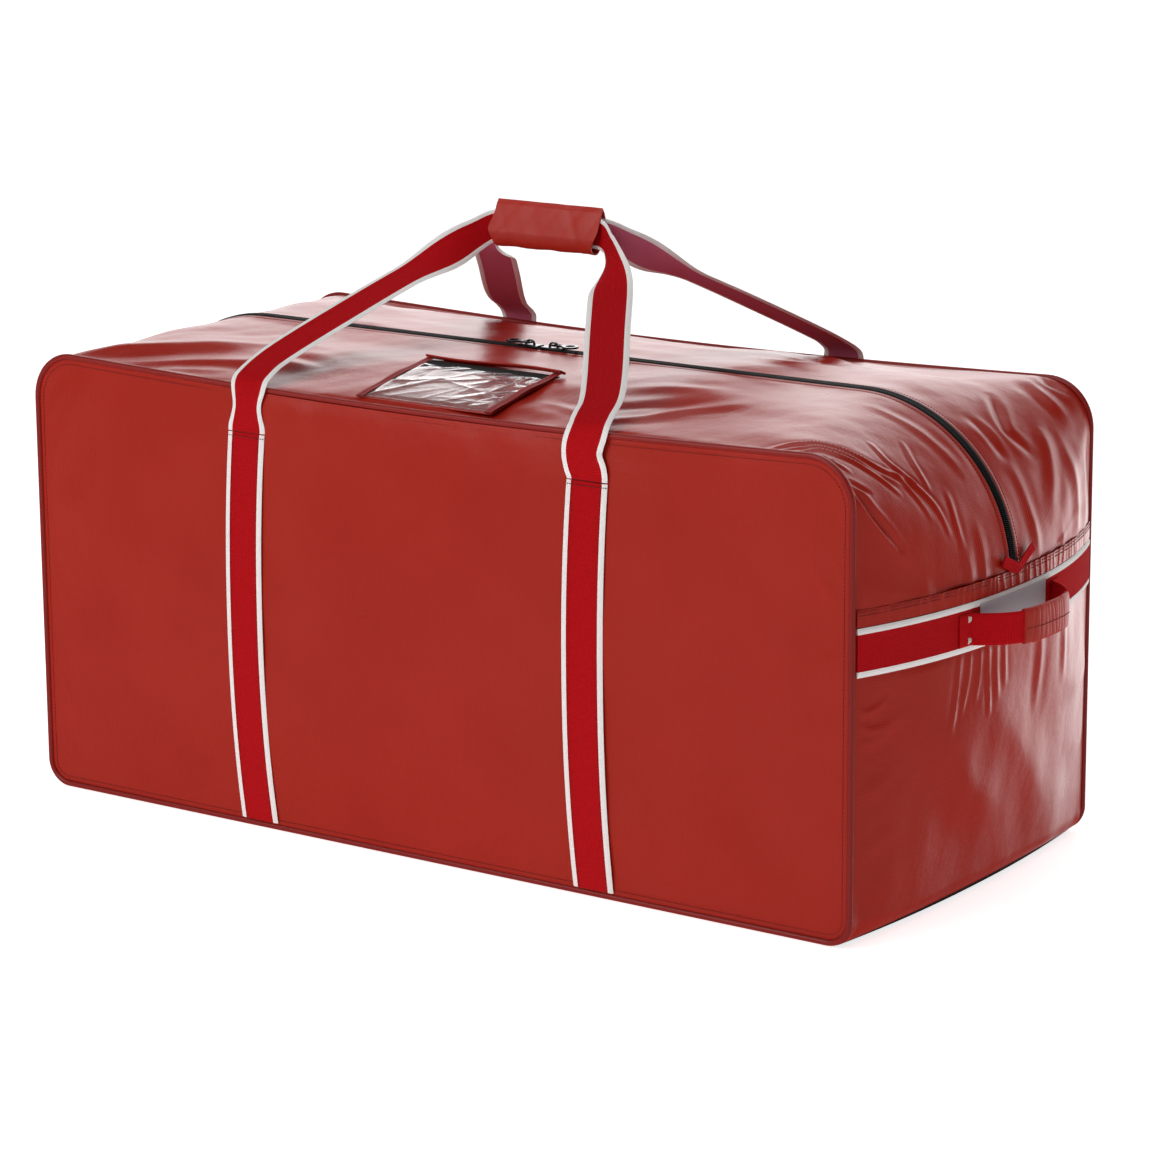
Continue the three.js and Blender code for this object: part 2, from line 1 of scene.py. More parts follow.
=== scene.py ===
"""The looks of a hockey equipment bag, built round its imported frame.

Shapes are worked out in millimetres in the frame's own axes (X along the bag, Y front to rear, Z up)
and turned to metres when a mesh is made.
"""

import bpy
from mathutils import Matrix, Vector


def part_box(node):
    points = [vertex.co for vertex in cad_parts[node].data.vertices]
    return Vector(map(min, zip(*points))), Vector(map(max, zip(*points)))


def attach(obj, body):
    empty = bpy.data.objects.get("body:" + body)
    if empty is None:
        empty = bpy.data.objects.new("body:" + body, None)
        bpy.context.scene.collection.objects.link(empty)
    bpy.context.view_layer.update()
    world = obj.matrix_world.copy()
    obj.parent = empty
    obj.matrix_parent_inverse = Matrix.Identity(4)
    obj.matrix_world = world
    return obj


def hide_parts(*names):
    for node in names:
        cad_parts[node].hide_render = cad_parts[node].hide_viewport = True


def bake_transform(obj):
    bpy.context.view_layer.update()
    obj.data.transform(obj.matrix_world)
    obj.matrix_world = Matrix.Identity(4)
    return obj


bl_info = {
    "name": "Hockey Equipment Bag",
    "version": (1, 0, 0),
    "blender": (4, 5, 0),
    "location": "View3D > Sidebar > Bag",
    "description": "Coated fabric equipment bag with webbing loops, zip and card pocket",
    "category": "Object",
}

import bpy
import numpy as np
from mathutils import Matrix, Vector

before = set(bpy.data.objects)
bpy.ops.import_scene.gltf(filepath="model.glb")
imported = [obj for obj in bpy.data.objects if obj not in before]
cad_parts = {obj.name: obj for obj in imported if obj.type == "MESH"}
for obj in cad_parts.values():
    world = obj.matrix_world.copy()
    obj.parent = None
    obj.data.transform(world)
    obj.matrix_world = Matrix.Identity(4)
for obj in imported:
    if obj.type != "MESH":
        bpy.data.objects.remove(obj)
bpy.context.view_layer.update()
MM = 0.001


def node_box(node):
    """Lowest and highest corner of a frame node, in millimetres."""
    low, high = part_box(node)
    return np.array(low) / MM, np.array(high) / MM


# ---------------------------------------------------------------- sizes, colours and studio

PIPING_LOW, PIPING_HIGH = node_box("front_piping")
STRIP_LOW, STRIP_HIGH = node_box("front_right_webbing")
BAND_LOW, BAND_HIGH = node_box("right_end_band")
GRIP_LOW, GRIP_HIGH = node_box("grip_wrap")
GRAB_LOW, GRAB_HIGH = node_box("right_grab_strap")
SLEEVE_LOW, SLEEVE_HIGH = node_box("right_grab_sleeve")
POCKET_LOW, POCKET_HIGH = node_box("pocket_backing")
FLAP_LOW, FLAP_HIGH = node_box("front_top_flap")

PIPING_RADIUS = 3.5
HALF_LENGTH = PIPING_HIGH[0] - PIPING_RADIUS
HALF_DEPTH = -(PIPING_LOW[1] + PIPING_HIGH[1]) / 2
SEAM_HEIGHT = 478.0
CROWN_HEIGHT = FLAP_HIGH[2]
SEAM_DEPTH = HALF_DEPTH - PIPING_RADIUS - 0.3


def millimetres(name, description, default):
    """A size property, which holds millimetres."""
    return bpy.props.FloatProperty(
        name=name, description=description + ", in millimetres", default=default)


def swatch(name, description, default):
    """A colour property, which holds an sRGB colour as six hex digits."""
    return bpy.props.StringProperty(
        name=name, description=description + ", sRGB hex", default=default)


class BagSizes(bpy.types.PropertyGroup):
    top_sag: millimetres("Top sag", "How far the middle of a top seam hangs", 11.0)
    end_bulge: millimetres("End bulge", "How far the ends stand out in the middle", 42.0)
    panel_bulge: millimetres("Panel bulge", "How far the big panels stand out", 22.0)
    seam_corner: millimetres("Seam corner", "Corner radius of the front and rear panels", 50.0)
    crown_corner: millimetres("Crown corner", "Corner radius along the zip", 170.0)
    base_corner: millimetres("Base corner", "Corner radius at the base", 25.0)
    fabric: millimetres("Fabric", "Thickness of the coated fabric", 1.6)
    webbing_width: millimetres("Webbing width", "Width of the carry webbing", 48.0)
    white_edge: millimetres("White edge", "Width of each white edge of the webbing", 5.9)
    wrinkles: bpy.props.FloatProperty(
        name="Wrinkles", description="Depth of the folds, as a share", default=1.0, min=0.0, max=2.0,
        subtype="FACTOR")


class BagColours(bpy.types.PropertyGroup):
    coating: swatch("Coating", "Red vinyl coating", "A8200F")
    piping: swatch("Piping", "Piping vinyl", "8E1A14")
    webbing: swatch("Webbing", "Red of the webbing", "B8040F")
    edge: swatch("Webbing edge", "White of the webbing's edges", "F2EDEB")
    zip: swatch("Zip", "Nylon coil", "100D0D")
    base: swatch("Base", "Base fabric", "1A191B")
    backing: swatch("Backing", "Pale backing cloth", "C6C3C9")


class StudioSettings(bpy.types.PropertyGroup):
    focal_length: millimetres("Focal length", "Camera lens", 129.9)
    floor: swatch("Floor", "Floor", "F4F3F2")
    key_power: bpy.props.FloatProperty(
        name="Key light", description="Power of the front softbox", default=102.0, subtype="POWER")
    top_power: bpy.props.FloatProperty(
        name="Top light", description="Power of the softbox overhead", default=64.0, subtype="POWER")


def sizes():
    return bpy.context.scene.bag_sizes


def colours():
    return bpy.context.scene.bag_colours


# ---------------------------------------------------------------- shape of the filled bag

def smooth(t):
    """0 below 0, 1 above 1, and 3t^2 - 2t^3 between."""
    t = np.clip(t, 0.0, 1.0)
    return t * t * (3 - 2 * t)


def arch(share):
    """A flattened arch, 1 in the middle and 0 at a share of 1: 1 - |share|^2.2."""
    return 1 - np.abs(share) ** 2.2


def crown(y):
    """The arch over the bag's depth: 1 on the line of the zip, 0 at the front and rear seams."""
    return arch(y / HALF_DEPTH)


FULL_BULGE_Z, BULGE_FADE = 290, 310


def end_x(y, z):
    """Half the length at a depth and height: the ends bulge with crown(y), less so near the base."""
    below = np.maximum(0, (FULL_BULGE_Z - z) / BULGE_FADE)
    return HALF_LENGTH + sizes().end_bulge * crown(y) * (1 - 0.9 * below ** 2)


def seam_sag(x):
    """A top seam hangs as one half wave of a cosine over the bag's length."""
    return sizes().top_sag * np.cos(np.pi * x / (2 * HALF_LENGTH))


def top_z(x, y):
    """Height of the top: the dome of crown(y), with the sag fading out towards the zip."""
    dome = CROWN_HEIGHT - SEAM_HEIGHT
    return SEAM_HEIGHT + dome * crown(y) - seam_sag(x) * (1 - crown(y))


def panel_out(x, z):
    """How far a big panel stands out: the product of two flattened arches, along and up."""
    along = np.maximum(0, arch(x / HALF_LENGTH))
    return sizes().panel_bulge * along * np.maximum(0, arch(z / (SEAM_HEIGHT / 2) - 1))


FLAT_END, ARC_SHARE = 0.5, 0.35
ARC_END = FLAT_END + ARC_SHARE


def gusset(end, t, y, bottom):
    """The line from the middle of the bag over the corner and down its end, at depth y.

    t runs 0 to 0.5 along the flat top, 0.5 to 0.85 round a quarter circle, and on to 1 down to bottom.
    """
    s = sizes()
    t, y = np.broadcast_arrays(np.asarray(t, float), np.asarray(y, float))
    radius = s.seam_corner + (s.crown_corner - s.seam_corner) * crown(y)
    out = end_x(y, SEAM_HEIGHT - radius)
    cx = out - radius
    cz = top_z(cx, y) - radius
    angle = np.pi / 2 * np.clip((t - FLAT_END) / ARC_SHARE, 0, 1)
    flat = t < FLAT_END
    x = np.where(flat, cx * t / FLAT_END, cx + radius * np.sin(angle))
    z = np.where(flat, top_z(x, y), cz + radius * np.cos(angle))
    down = np.clip((t - ARC_END) / (1 - ARC_END), 0, 1)
    z = np.where(t > ARC_END, cz + (bottom - cz) * down, z)
    x = np.where(t > ARC_END, end_x(y, z), x)
    return np.stack([end * x, y, z], -1)


# ---------------------------------------------------------------- folds in the cloth

def unit(vectors):
    """Vectors scaled to length 1 along the last axis."""
    return vectors / np.maximum(np.linalg.norm(vectors, axis=-1, keepdims=True), 1e-9)


def travelled(path):
    """The distance along a path at each of its points."""
    return np.concatenate([[0], np.cumsum(np.linalg.norm(np.diff(path, axis=0), axis=-1))])


def sampled(places, distance, vectors):
    """The vectors of a path read off at places along it, straight between its points."""
    return np.stack([np.interp(places, distance, vectors[:, k]) for k in range(3)], -1)


def grid_of(down, along):
    """Two rows of numbers as a grid: one changes from row to row, the other along each row."""
    return np.meshgrid(down, along, indexing="ij")


def smooth_curve(points, count):
    """Points on a centripetal Catmull-Rom curve through the given points."""
    p = np.asarray(points, float)
    p = np.concatenate([[2 * p[0] - p[1]], p, [2 * p[-1] - p[-2]]])
    knots = np.concatenate([[0], np.cumsum(np.linalg.norm(np.diff(p, axis=0), axis=-1) ** 0.5)])
    places = np.linspace(knots[1], knots[-2], count)
    segment = np.clip(np.searchsorted(knots, places, side="right") - 1, 1, len(p) - 3)
    t0, t1, t2, t3 = (knots[segment + k][:, None] for k in (-1, 0, 1, 2))
    p0, p1, p2, p3 = (p[segment + k] for k in (-1, 0, 1, 2))
    t = places[:, None]
    a1 = (t1 - t) / (t1 - t0) * p0 + (t - t0) / (t1 - t0) * p1
    a2 = (t2 - t) / (t2 - t1) * p1 + (t - t1) / (t2 - t1) * p2
    a3 = (t3 - t) / (t3 - t2) * p2 + (t - t2) / (t3 - t2) * p3
    b1 = (t2 - t) / (t2 - t0) * a1 + (t - t0) / (t2 - t0) * a2
    b2 = (t3 - t) / (t3 - t1) * a2 + (t - t1) / (t3 - t1) * a3
    return (t2 - t) / (t2 - t1) * b1 + (t - t1) / (t2 - t1) * b2


def fold_line(places, surface):
    """The points of a fold: a smooth curve through its places, each laid on a surface."""
    path = np.array([(*p, 0.0) for p in places])
    path = smooth_curve(path, 8 * len(places))
    return surface(path[:, 0], path[:, 1])


def fold_depth(points, line, width, height):
    """How far one fold moves each point outwards.

    A fold is a sharp ridge, exp(-|d| / width) rounded at its top, with a shallow valley on each side.
    d is the distance to the line. The place along the line fades the fold in and out.
    """
    best = np.full(points.shape[:-1], 1e9)
    along = np.zeros(points.shape[:-1])
    count = len(line) - 1
    for i in range(count):
        run = line[i + 1] - line[i]
        offset = points - line[i]
        t = np.clip(offset @ run / (run @ run), 0, 1)
        distance = np.linalg.norm(offset - t[..., None] * run, axis=-1)
        along = np.where(distance < best, (i + t) / count, along)
        best = np.minimum(best, distance)
    fade = np.sin(np.pi * np.clip(along * 0.92 + 0.04, 0, 1)) ** 0.7
    ridge = np.exp(-np.sqrt(best ** 2 + 0.3 * width ** 2) / width + 0.55)
    valley = 0.45 * np.exp(-((best - 2.2 * width) / (1.3 * width)) ** 2)
    return height * fade * (ridge - valley)


def folded(points, folds, surface):
    """The sum of a table's folds at each point. The surface lays a fold's places down."""
    return sum(fold_depth(points, fold_line(places, surface), width, height)
               for places, width, height in folds)


def streaks(along, across, seed, spacing, lean=0.35, waves=14):
    """Long soft folds that run mostly one way: seeded sine waves with crests near that direction."""
    rng = np.random.default_rng(seed)
    total = np.zeros(along.shape)
    for _ in range(waves):
        angle = rng.normal(0, lean)
        length = spacing * rng.uniform(0.6, 2.2)
        phase = (across * np.cos(angle) + along * np.sin(angle) * 0.5) * 2 * np.pi / length
        wave = 2 * np.pi * along / rng.uniform(260, 520)
        swell = 0.5 + 0.5 * np.sin(wave + rng.uniform(0, 2 * np.pi))
        total += length / spacing * swell * np.sin(phase + rng.uniform(0, 2 * np.pi))
    return total / np.sqrt(waves)


def soft_noise(points, scale, seed, waves=10):
    """Smooth noise from a seeded sum of sine waves in random directions, about -1 to 1."""
    rng = np.random.default_rng(seed)
    total = np.zeros(points.shape[:-1])
    for _ in range(waves):
        direction = rng.normal(size=3)
        direction /= np.linalg.norm(direction)
        length = scale * rng.uniform(0.6, 1.7)
        total += np.sin(points @ direction * 2 * np.pi / length + rng.uniform(0, 2 * np.pi))
    return total / np.sqrt(waves)


def grid_normals(points, closed_v=False):
    """Unit normals of a grid of points, from the cross product of its two directions."""
    du = np.gradient(points, axis=0)
    if closed_v:
        dv = np.roll(points, -1, 1) - np.roll(points, 1, 1)
    else:
        dv = np.gradient(points, axis=1)
    return unit(np.cross(du, dv))


def outward_normals(points):
    """The unit normals of a grid, turned to point away from the middle of the bag."""
    normals = grid_normals(points)
    if np.sum(normals * (points - [0, 0, SEAM_HEIGHT / 2])) < 0:
        return -normals
    return normals


# ---------------------------------------------------------------- mesh makers

def finish_mesh(name, points, faces, material, smooth_angle=40, uv=None):
    """A mesh object from points in millimetres and faces, with its UVs in metres."""
    mesh = bpy.data.meshes.new(name)
    mesh.from_pydata((np.asarray(points) * MM).tolist(), [], [list(f) for f in faces])
    if uv is not None:
        layer = mesh.uv_layers.new(name="Cloth")
        corner = np.empty(len(mesh.loops), dtype=np.int32)
        mesh.loops.foreach_get("vertex_index", corner)
        layer.data.foreach_set("uv", (np.asarray(uv) * MM)[corner].astype(np.float32).ravel())
    mesh.polygons.foreach_set("use_smooth", np.ones(len(mesh.polygons), dtype=bool))
    mesh.update()
    mesh.set_sharp_from_angle(angle=np.radians(smooth_angle))
    obj = bpy.data.objects.new(name, mesh)
    bpy.context.collection.objects.link(obj)
    mesh.materials.append(material)
    return obj


def grid_faces(rows, columns, start=0, flip=False, closed_v=False):
    """Quads over a grid of rows by columns of points, as an array."""
    i = np.arange(rows - 1)[:, None]
    j = np.arange(columns if closed_v else columns - 1)[None, :]
    nxt = (j + 1) % columns
    quads = np.stack([i * columns + j, (i + 1) * columns + j,
                      (i + 1) * columns + nxt, i * columns + nxt], -1).reshape(-1, 4) + start
    return quads[:, ::-1] if flip else quads


def sheet_piece(name, outer, thickness, material, normals=None):
    """A closed sheet: a grid, the same grid one thickness below it, and a rim between them."""
    rows, columns = outer.shape[:2]
    normals = outward_normals(outer) if normals is None else normals
    agrees = np.sum(normals * grid_normals(outer)) > 0
    inner = outer - normals * thickness
    count = rows * columns
    edge = np.concatenate([np.arange(columns), np.arange(1, rows) * columns + columns - 1,
                           (rows - 1) * columns + np.arange(columns - 2, -1, -1),
                           np.arange(rows - 2, 0, -1) * columns])
    nxt = np.roll(edge, -1)
    rim = np.stack([edge, nxt, nxt + count, edge + count], -1)
    faces = np.concatenate([grid_faces(rows, columns, 0, not agrees),
                            grid_faces(rows, columns, count, agrees),
                            rim[:, ::-1] if agrees else rim])
    uv = np.stack(grid_of(travelled(outer[:, columns // 2]), travelled(outer[rows // 2])), -1)
    points = np.concatenate([outer.reshape(-1, 3), inner.reshape(-1, 3)])
    return finish_mesh(name, points, faces, material, uv=np.tile(uv.reshape(-1, 2), (2, 1)))


EDGE_STAND = 0.25


def ribbon_profile(width, thickness, edge):
    """The closed outline of a flat ribbon with round sides, for a column of widths.

    At d half thicknesses from a side it is sqrt(1 - (1 - d)^2) of its full thickness. Its woven
    edges, where it has them, stand a little prouder.
    """
    across = np.concatenate([np.linspace(-0.5, 0.5, 20), np.linspace(0.5, -0.5, 20)])
    from_side = (0.5 - np.abs(across)) * width
    inward = 1 - np.clip(from_side / (thickness / 2), 0, 1)
    roundness = np.sqrt(np.clip(1 - inward ** 2, 0.02, 1))
    proud = EDGE_STAND * ((from_side < edge) & (from_side > 0.3))
    return across * width, np.repeat([1.0, -1.0], 20) * (thickness / 2 * roundness + proud)


def ribbon_piece(name, centre, across, width, thickness, material, edge=0.0, inner=0):
    """A ribbon: its outline carried along a centre line, with one cross direction per station.

    The UV map holds the distance along, and the distance across from the ribbon's middle. Where the
    ribbon narrows, the distance across keeps its full range. It runs below zero on the inner side.
    """
    ahead = unit(np.gradient(centre, axis=0))
    across = unit(across - np.sum(across * ahead, -1, keepdims=True) * ahead)
    up = np.cross(ahead, across)
    width = np.broadcast_to(np.asarray(width, float), len(centre))[:, None]
    profile_x, profile_z = ribbon_profile(width, thickness, edge)
    points = (centre[:, None] + across[:, None] * profile_x[..., None]
              + up[:, None] * profile_z[..., None])
    sense = np.where(profile_z * inner > 0, -1.0, 1.0)
    return swept_piece(name, points, material, profile_x * (width.max() / width), sense)


def swept_piece(name, points, material, across=None, sense=1.0):
    """A closed outline carried along a path, with flat caps: points is stations by outline."""
    rows, columns = points.shape[:2]
    faces = grid_faces(rows, columns, closed_v=True)
    first = list(range(columns))
    last = [(rows - 1) * columns + k for k in range(columns)]
    centre = points.mean(1)
    if np.sum(grid_normals(points, closed_v=True) * (points - centre[:, None])) < 0:
        faces, caps = faces[:, ::-1], [first, last[::-1]]
    else:
        caps = [first[::-1], last]
    if across is None:
        steps = np.linalg.norm(np.diff(points, axis=1), axis=-1)
        across = np.concatenate([np.zeros((rows, 1)), np.cumsum(steps, axis=1)], axis=1)
    along = np.broadcast_to(travelled(centre)[:, None], across.shape) * sense
    uv = np.stack([along, across], -1).reshape(-1, 2)
    return finish_mesh(name, points.reshape(-1, 3), faces.tolist() + caps, material, uv=uv)


def loop_tube(name, path, radius, sides, material):
    """A closed ring of round cross-sections along a closed path that lies in a plane of constant Y."""
    ahead = unit(np.roll(path, -1, 0) - np.roll(path, 1, 0))
    depth = np.array([0.0, 1.0, 0.0])
    out = np.cross(depth, ahead)
    angle = np.linspace(0, 2 * np.pi, sides, endpoint=False)
    ring = (path[:, None] + radius * (np.cos(angle)[None, :, None] * out[:, None]
                                      + np.sin(angle)[None, :, None] * depth))
    rows = len(path)
    i, j = np.arange(rows)[:, None], np.arange(sides)[None, :]
    down, nxt = (i + 1) % rows, (j + 1) % sides
    quads = np.stack([i * sides + j, down * sides + j, down * sides + nxt, i * sides + nxt],
                     -1).reshape(-1, 4)
    flat = ring.reshape(-1, 3)
    a, b, c = flat[quads[:, 0]], flat[quads[:, 1]], flat[quads[:, 2]]
    if np.sum(a * np.cross(b, c)) < 0:
        quads = quads[:, ::-1]
    uv = np.stack(grid_of(travelled(path), radius * angle), -1).reshape(-1, 2)
    return finish_mesh(name, flat, quads, material, uv=uv)


def copies(name, shape, faces, origins, x_axes, y_axes, z_axes, material, smooth_angle=40):
    """One small closed shape set down many times: each copy has its own origin and three axes."""
    points = (origins[:, None] + shape[None, :, :1] * x_axes[:, None]
              + shape[None, :, 1:2] * y_axes[:, None] + shape[None, :, 2:] * z_axes[:, None])
    offsets = np.arange(len(origins)) * len(shape)
    all_faces = [tuple(int(k) + int(o) for k in face) for o in offsets for face in faces]
    uv = np.tile(shape[:, :2], (len(origins), 1))
    return finish_mesh(name, points.reshape(-1, 3), all_faces, material, smooth_angle, uv)


def stitch_shape(length, radius, rings=5, sides=6):
    """A thread's short arch: a tube whose ends dip under the cloth and whose middle stands proud."""
    t = np.linspace(0, 1, rings)
    angle = np.linspace(0, 2 * np.pi, sides, endpoint=False)
    swell = radius * (0.55 + 0.45 * np.sin(np.pi * t))
    height = radius * (1.3 * np.sin(np.pi * t) - 0.55)
    x = np.broadcast_to(((t - 0.5) * length)[:, None], (rings, sides))
    y = swell[:, None] * np.cos(angle)
    z = height[:, None] + swell[:, None] * np.sin(angle)
    points = np.stack([x, y, z], -1).reshape(-1, 3)
    faces = [tuple(f) for f in grid_faces(rings, sides, flip=True, closed_v=True)]
    faces.append(tuple(range(sides)))
    faces.append(tuple((rings - 1) * sides + k for k in range(sides - 1, -1, -1)))
    return points, faces


def stitches(name, path, normals, pitch, length, radius):
    """A row of red stitches along a path on a surface, evenly spaced by the distance along it."""
    distance = travelled(path)
    places = np.arange(pitch / 2, distance[-1], pitch)
    up = unit(sampled(places, distance, normals))
    ahead = sampled(places + 0.5, distance, path) - sampled(places - 0.5, distance, path)
    ahead = unit(ahead - np.sum(ahead * up, -1, keepdims=True) * up)
    shape, faces = stitch_shape(length, radius)
    return copies(name, shape, faces, sampled(places, distance, path), ahead, np.cross(up, ahead), up,
                  finish_of("red thread"))


def vertex_places(mesh):
    """A mesh's points as an array, in metres."""
    places = np.empty(len(mesh.vertices) * 3)
    mesh.vertices.foreach_get("co", places)
    return places.reshape(-1, 3)


def join(name, objects):
    """Joins several objects with one material into one mesh."""
    points, faces, uvs, start = [], [], [], 0
    material = objects[0].data.materials[0]
    for obj in objects:
        mesh = obj.data
        points.append(vertex_places(mesh))
        faces += [tuple(v + start for v in p.vertices) for p in mesh.polygons]
        loop_uv = np.empty(len(mesh.loops) * 2)
        mesh.uv_layers[0].data.foreach_get("uv", loop_uv)
        uvs.append(loop_uv)
        start += len(mesh.vertices)
        bpy.data.objects.remove(obj)
    joined = finish_mesh(name, np.concatenate(points) / MM, faces, material,
                         uv=np.zeros((start, 2)))
    joined.data.uv_layers[0].data.foreach_set("uv", np.concatenate(uvs))
    return joined


def settle(obj, body, slot, *nodes):
    """Rides a finished piece on a body and hides what it stands for. Its slot argument is not used."""
    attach(obj, body)
    if nodes:
        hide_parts(*nodes)
    return obj


# ---------------------------------------------------------------- materials

def linear(hex_colour):
    """An sRGB hex colour as linear RGBA."""
    parts = [int(hex_colour[i:i + 2], 16) / 255 for i in (0, 2, 4)]
    return tuple(c / 12.92 if c <= 0.04045 else ((c + 0.055) / 1.055) ** 2.4 for c in parts) + (1.0,)


def shades(hex_colour, dark, light):
    """A hex colour as two linear ones: times a darker share and times a lighter share."""
    return [tuple(min(1, c * share) for c in linear(hex_colour)[:3]) + (1,) for share in (dark, light)]


def add(tree, kind, settings=None, **links):
    """Adds a node. settings fills attributes and sockets, and links joins sockets.

    An attribute starts with a small letter. A socket is given by its name, or by its number, which
    has an underscore before it in links.
    """
    node = tree.nodes.new(kind)
    for key, value in (settings or {}).items():
        if isinstance(key, str) and key[0].islower():
            setattr(node, key, value)
        else:
            node.inputs[key].default_value = value
    for key, source in links.items():
        socket = int(key[1:]) if key[0] == "_" else key
        tree.links.new(source, node.inputs[socket])
    return node


def new_material(name, constants):
    """A material with numbers and colours set on its shader's own sockets."""
    material = bpy.data.materials.new(name)
    material.use_nodes = True
    shader = material.node_tree.nodes["Principled BSDF"]
    for socket, value in constants.items():
        shader.inputs[socket].default_value = value
    return material, material.node_tree, shader


def threads(tree, coordinates, along_mm, across_mm, ribs=None):
    """Height of a weave from two rows of round threads that cross, |sin| of each direction.

    The rows are multiplied, or, with ribs given, one row is weakened to that share and added.
    """
    split = add(tree, "ShaderNodeSeparateXYZ", Vector=coordinates)
    rows = []
    for socket, spacing in ((split.outputs[0], along_mm), (split.outputs[1], across_mm)):
        turns = add(tree, "ShaderNodeMath", {"operation": "MULTIPLY", 1: np.pi / (spacing * MM)},
                    _0=socket)
        wave = add(tree, "ShaderNodeMath", {"operation": "SINE"}, _0=turns.outputs[0])
        rows.append(add(tree, "ShaderNodeMath", {"operation": "ABSOLUTE"}, _0=wave.outputs[0]))
    if ribs is None:
        return add(tree, "ShaderNodeMath", {"operation": "MULTIPLY"},
                   _0=rows[0].outputs[0], _1=rows[1].outputs[0])
    return add(tree, "ShaderNodeMath", {"operation": "MULTIPLY_ADD", 1: ribs},
               _0=rows[0].outputs[0], _2=rows[1].outputs[0])


def coated_fabric(name, hex_colour, roughness=0.29, weave=0.13):
    """Vinyl-coated polyester: a glossy red skin that shows the woven scrim under it as fine ribs.

    The scrim's threads are 1.3 mm apart and are drawn at 2.8 mm, so that they show at this distance.
    """
    material, tree, shader = new_material(name, {"IOR": 1.5, "Specular IOR Level": 0.36})
    cloth = add(tree, "ShaderNodeUVMap", {"uv_map": "Cloth"})
    place = add(tree, "ShaderNodeTexCoord")
    scrim = threads(tree, cloth.outputs[0], 2.8, 2.8, 0.4)
    cloudy = add(tree, "ShaderNodeTexNoise", {"Scale": 9.0, "Detail": 4.0},
                 Vector=place.outputs["Object"])
    dark, light = shades(hex_colour, 0.90, 1.10)
    tint = add(tree, "ShaderNodeMix", {"data_type": "RGBA", 6: dark, 7: light}, _0=cloudy.outputs[0])
    tree.links.new(tint.outputs[2], shader.inputs["Base Color"])
    rubbed = add(tree, "ShaderNodeMapRange", {"To Min": roughness - 0.05, "To Max": roughness + 0.07},
                 Value=cloudy.outputs[0])
    tree.links.new(rubbed.outputs[0], shader.inputs["Roughness"])
    dents = add(tree, "ShaderNodeTexNoise", {"Scale": 62.0, "Detail": 3.0, "Roughness": 0.5},
                Vector=place.outputs["Object"])
    dented = add(tree, "ShaderNodeBump", {"Strength": 0.12, "Distance": 0.004},
                 Height=dents.outputs[0])
    ribbed = add(tree, "ShaderNodeBump", {"Strength": weave, "Distance": 0.0006},
                 Height=scrim.outputs[0], Normal=dented.outputs[0])
    tree.links.new(ribbed.outputs[0], shader.inputs["Normal"])
    return material


def woven_webbing(name, hex_colour, edge_hex, half_width, white_edge, inner_sheen_hex=None):
    """Woven polyester webbing: matte, with cross ribs, and a white border woven into each side.

    The picks are 1.6 mm apart and the warp ends 1.9 mm. Across the band, UV v is the distance from
    its middle line. UV u is below zero on the inner side, where a paler pink is painted in as the
    back light's sheen.
    """
    material, tree, shader = new_material(name, {"Roughness": 0.82, "Specular IOR Level": 0.12})
    cloth = add(tree, "ShaderNodeUVMap", {"uv_map": "Cloth"})
    split = add(tree, "ShaderNodeSeparateXYZ", Vector=cloth.outputs[0])
    weave = threads(tree, cloth.outputs[0], 1.6, 1.9)
    noise = add(tree, "ShaderNodeTexNoise", {"Scale": 260.0, "Detail": 3.0}, Vector=cloth.outputs[0])
    mixed = add(tree, "ShaderNodeMath", {"operation": "MULTIPLY"},
                _0=weave.outputs[0], _1=noise.outputs[0])
    lifted = add(tree, "ShaderNodeMapRange", {"From Max": 0.45}, Value=mixed.outputs[0])
    dark, light = shades(hex_colour, 0.72, 1.15)
    red = add(tree, "ShaderNodeMix", {"data_type": "RGBA", 6: dark, 7: light}, _0=lifted.outputs[0])
    colour = red.outputs[2]
    # Painted sheen: on the inner side (UV u below zero) the red gives way to a paler pink that stands for
    # the back light's sheen.
    if inner_sheen_hex:
        behind = add(tree, "ShaderNodeMath", {"operation": "LESS_THAN", 1: 0.0}, _0=split.outputs[0])
        painted_sheen = add(tree, "ShaderNodeMix", {"data_type": "RGBA", 7: linear(inner_sheen_hex)},
                    _0=behind.outputs[0], _6=colour)
        colour = painted_sheen.outputs[2]
    if white_edge:
        away = add(tree, "ShaderNodeMath", {"operation": "ABSOLUTE"}, _0=split.outputs[1])
        border = add(tree, "ShaderNodeMath",
                     {"operation": "GREATER_THAN", 1: (half_width - white_edge) * MM},
                     _0=away.outputs[0])
        striped = add(tree, "ShaderNodeMix", {"data_type": "RGBA", 7: linear(edge_hex)},
                      _0=border.outputs[0], _6=colour)
        colour = striped.outputs[2]
    tree.links.new(colour, shader.inputs["Base Color"])
    bump = add(tree, "ShaderNodeBump", {"Strength": 0.55, "Distance": 0.0006}, Height=weave.outputs[0])
    tree.links.new(bump.outputs[0], shader.inputs["Normal"])
    return material


def plain_weave(name, hex_colour, roughness=0.8, spacing=1.2, strength=0.4):
    """A plain matte cloth or tape: one colour, shaded by its own threads."""
    material, tree, shader = new_material(name, {"Roughness": roughness})
    cloth = add(tree, "ShaderNodeUVMap", {"uv_map": "Cloth"})
    weave = threads(tree, cloth.outputs[0], spacing, spacing)
    dark, light = shades(hex_colour, 0.75, 1.08)
    tint = add(tree, "ShaderNodeMix", {"data_type": "RGBA", 6: dark, 7: light}, _0=weave.outputs[0])
    tree.links.new(tint.outputs[2], shader.inputs["Base Color"])
    bump = add(tree, "ShaderNodeBump", {"Strength": strength, "Distance": 0.0005},
               Height=weave.outputs[0])
    tree.links.new(bump.outputs[0], shader.inputs["Normal"])
    return material


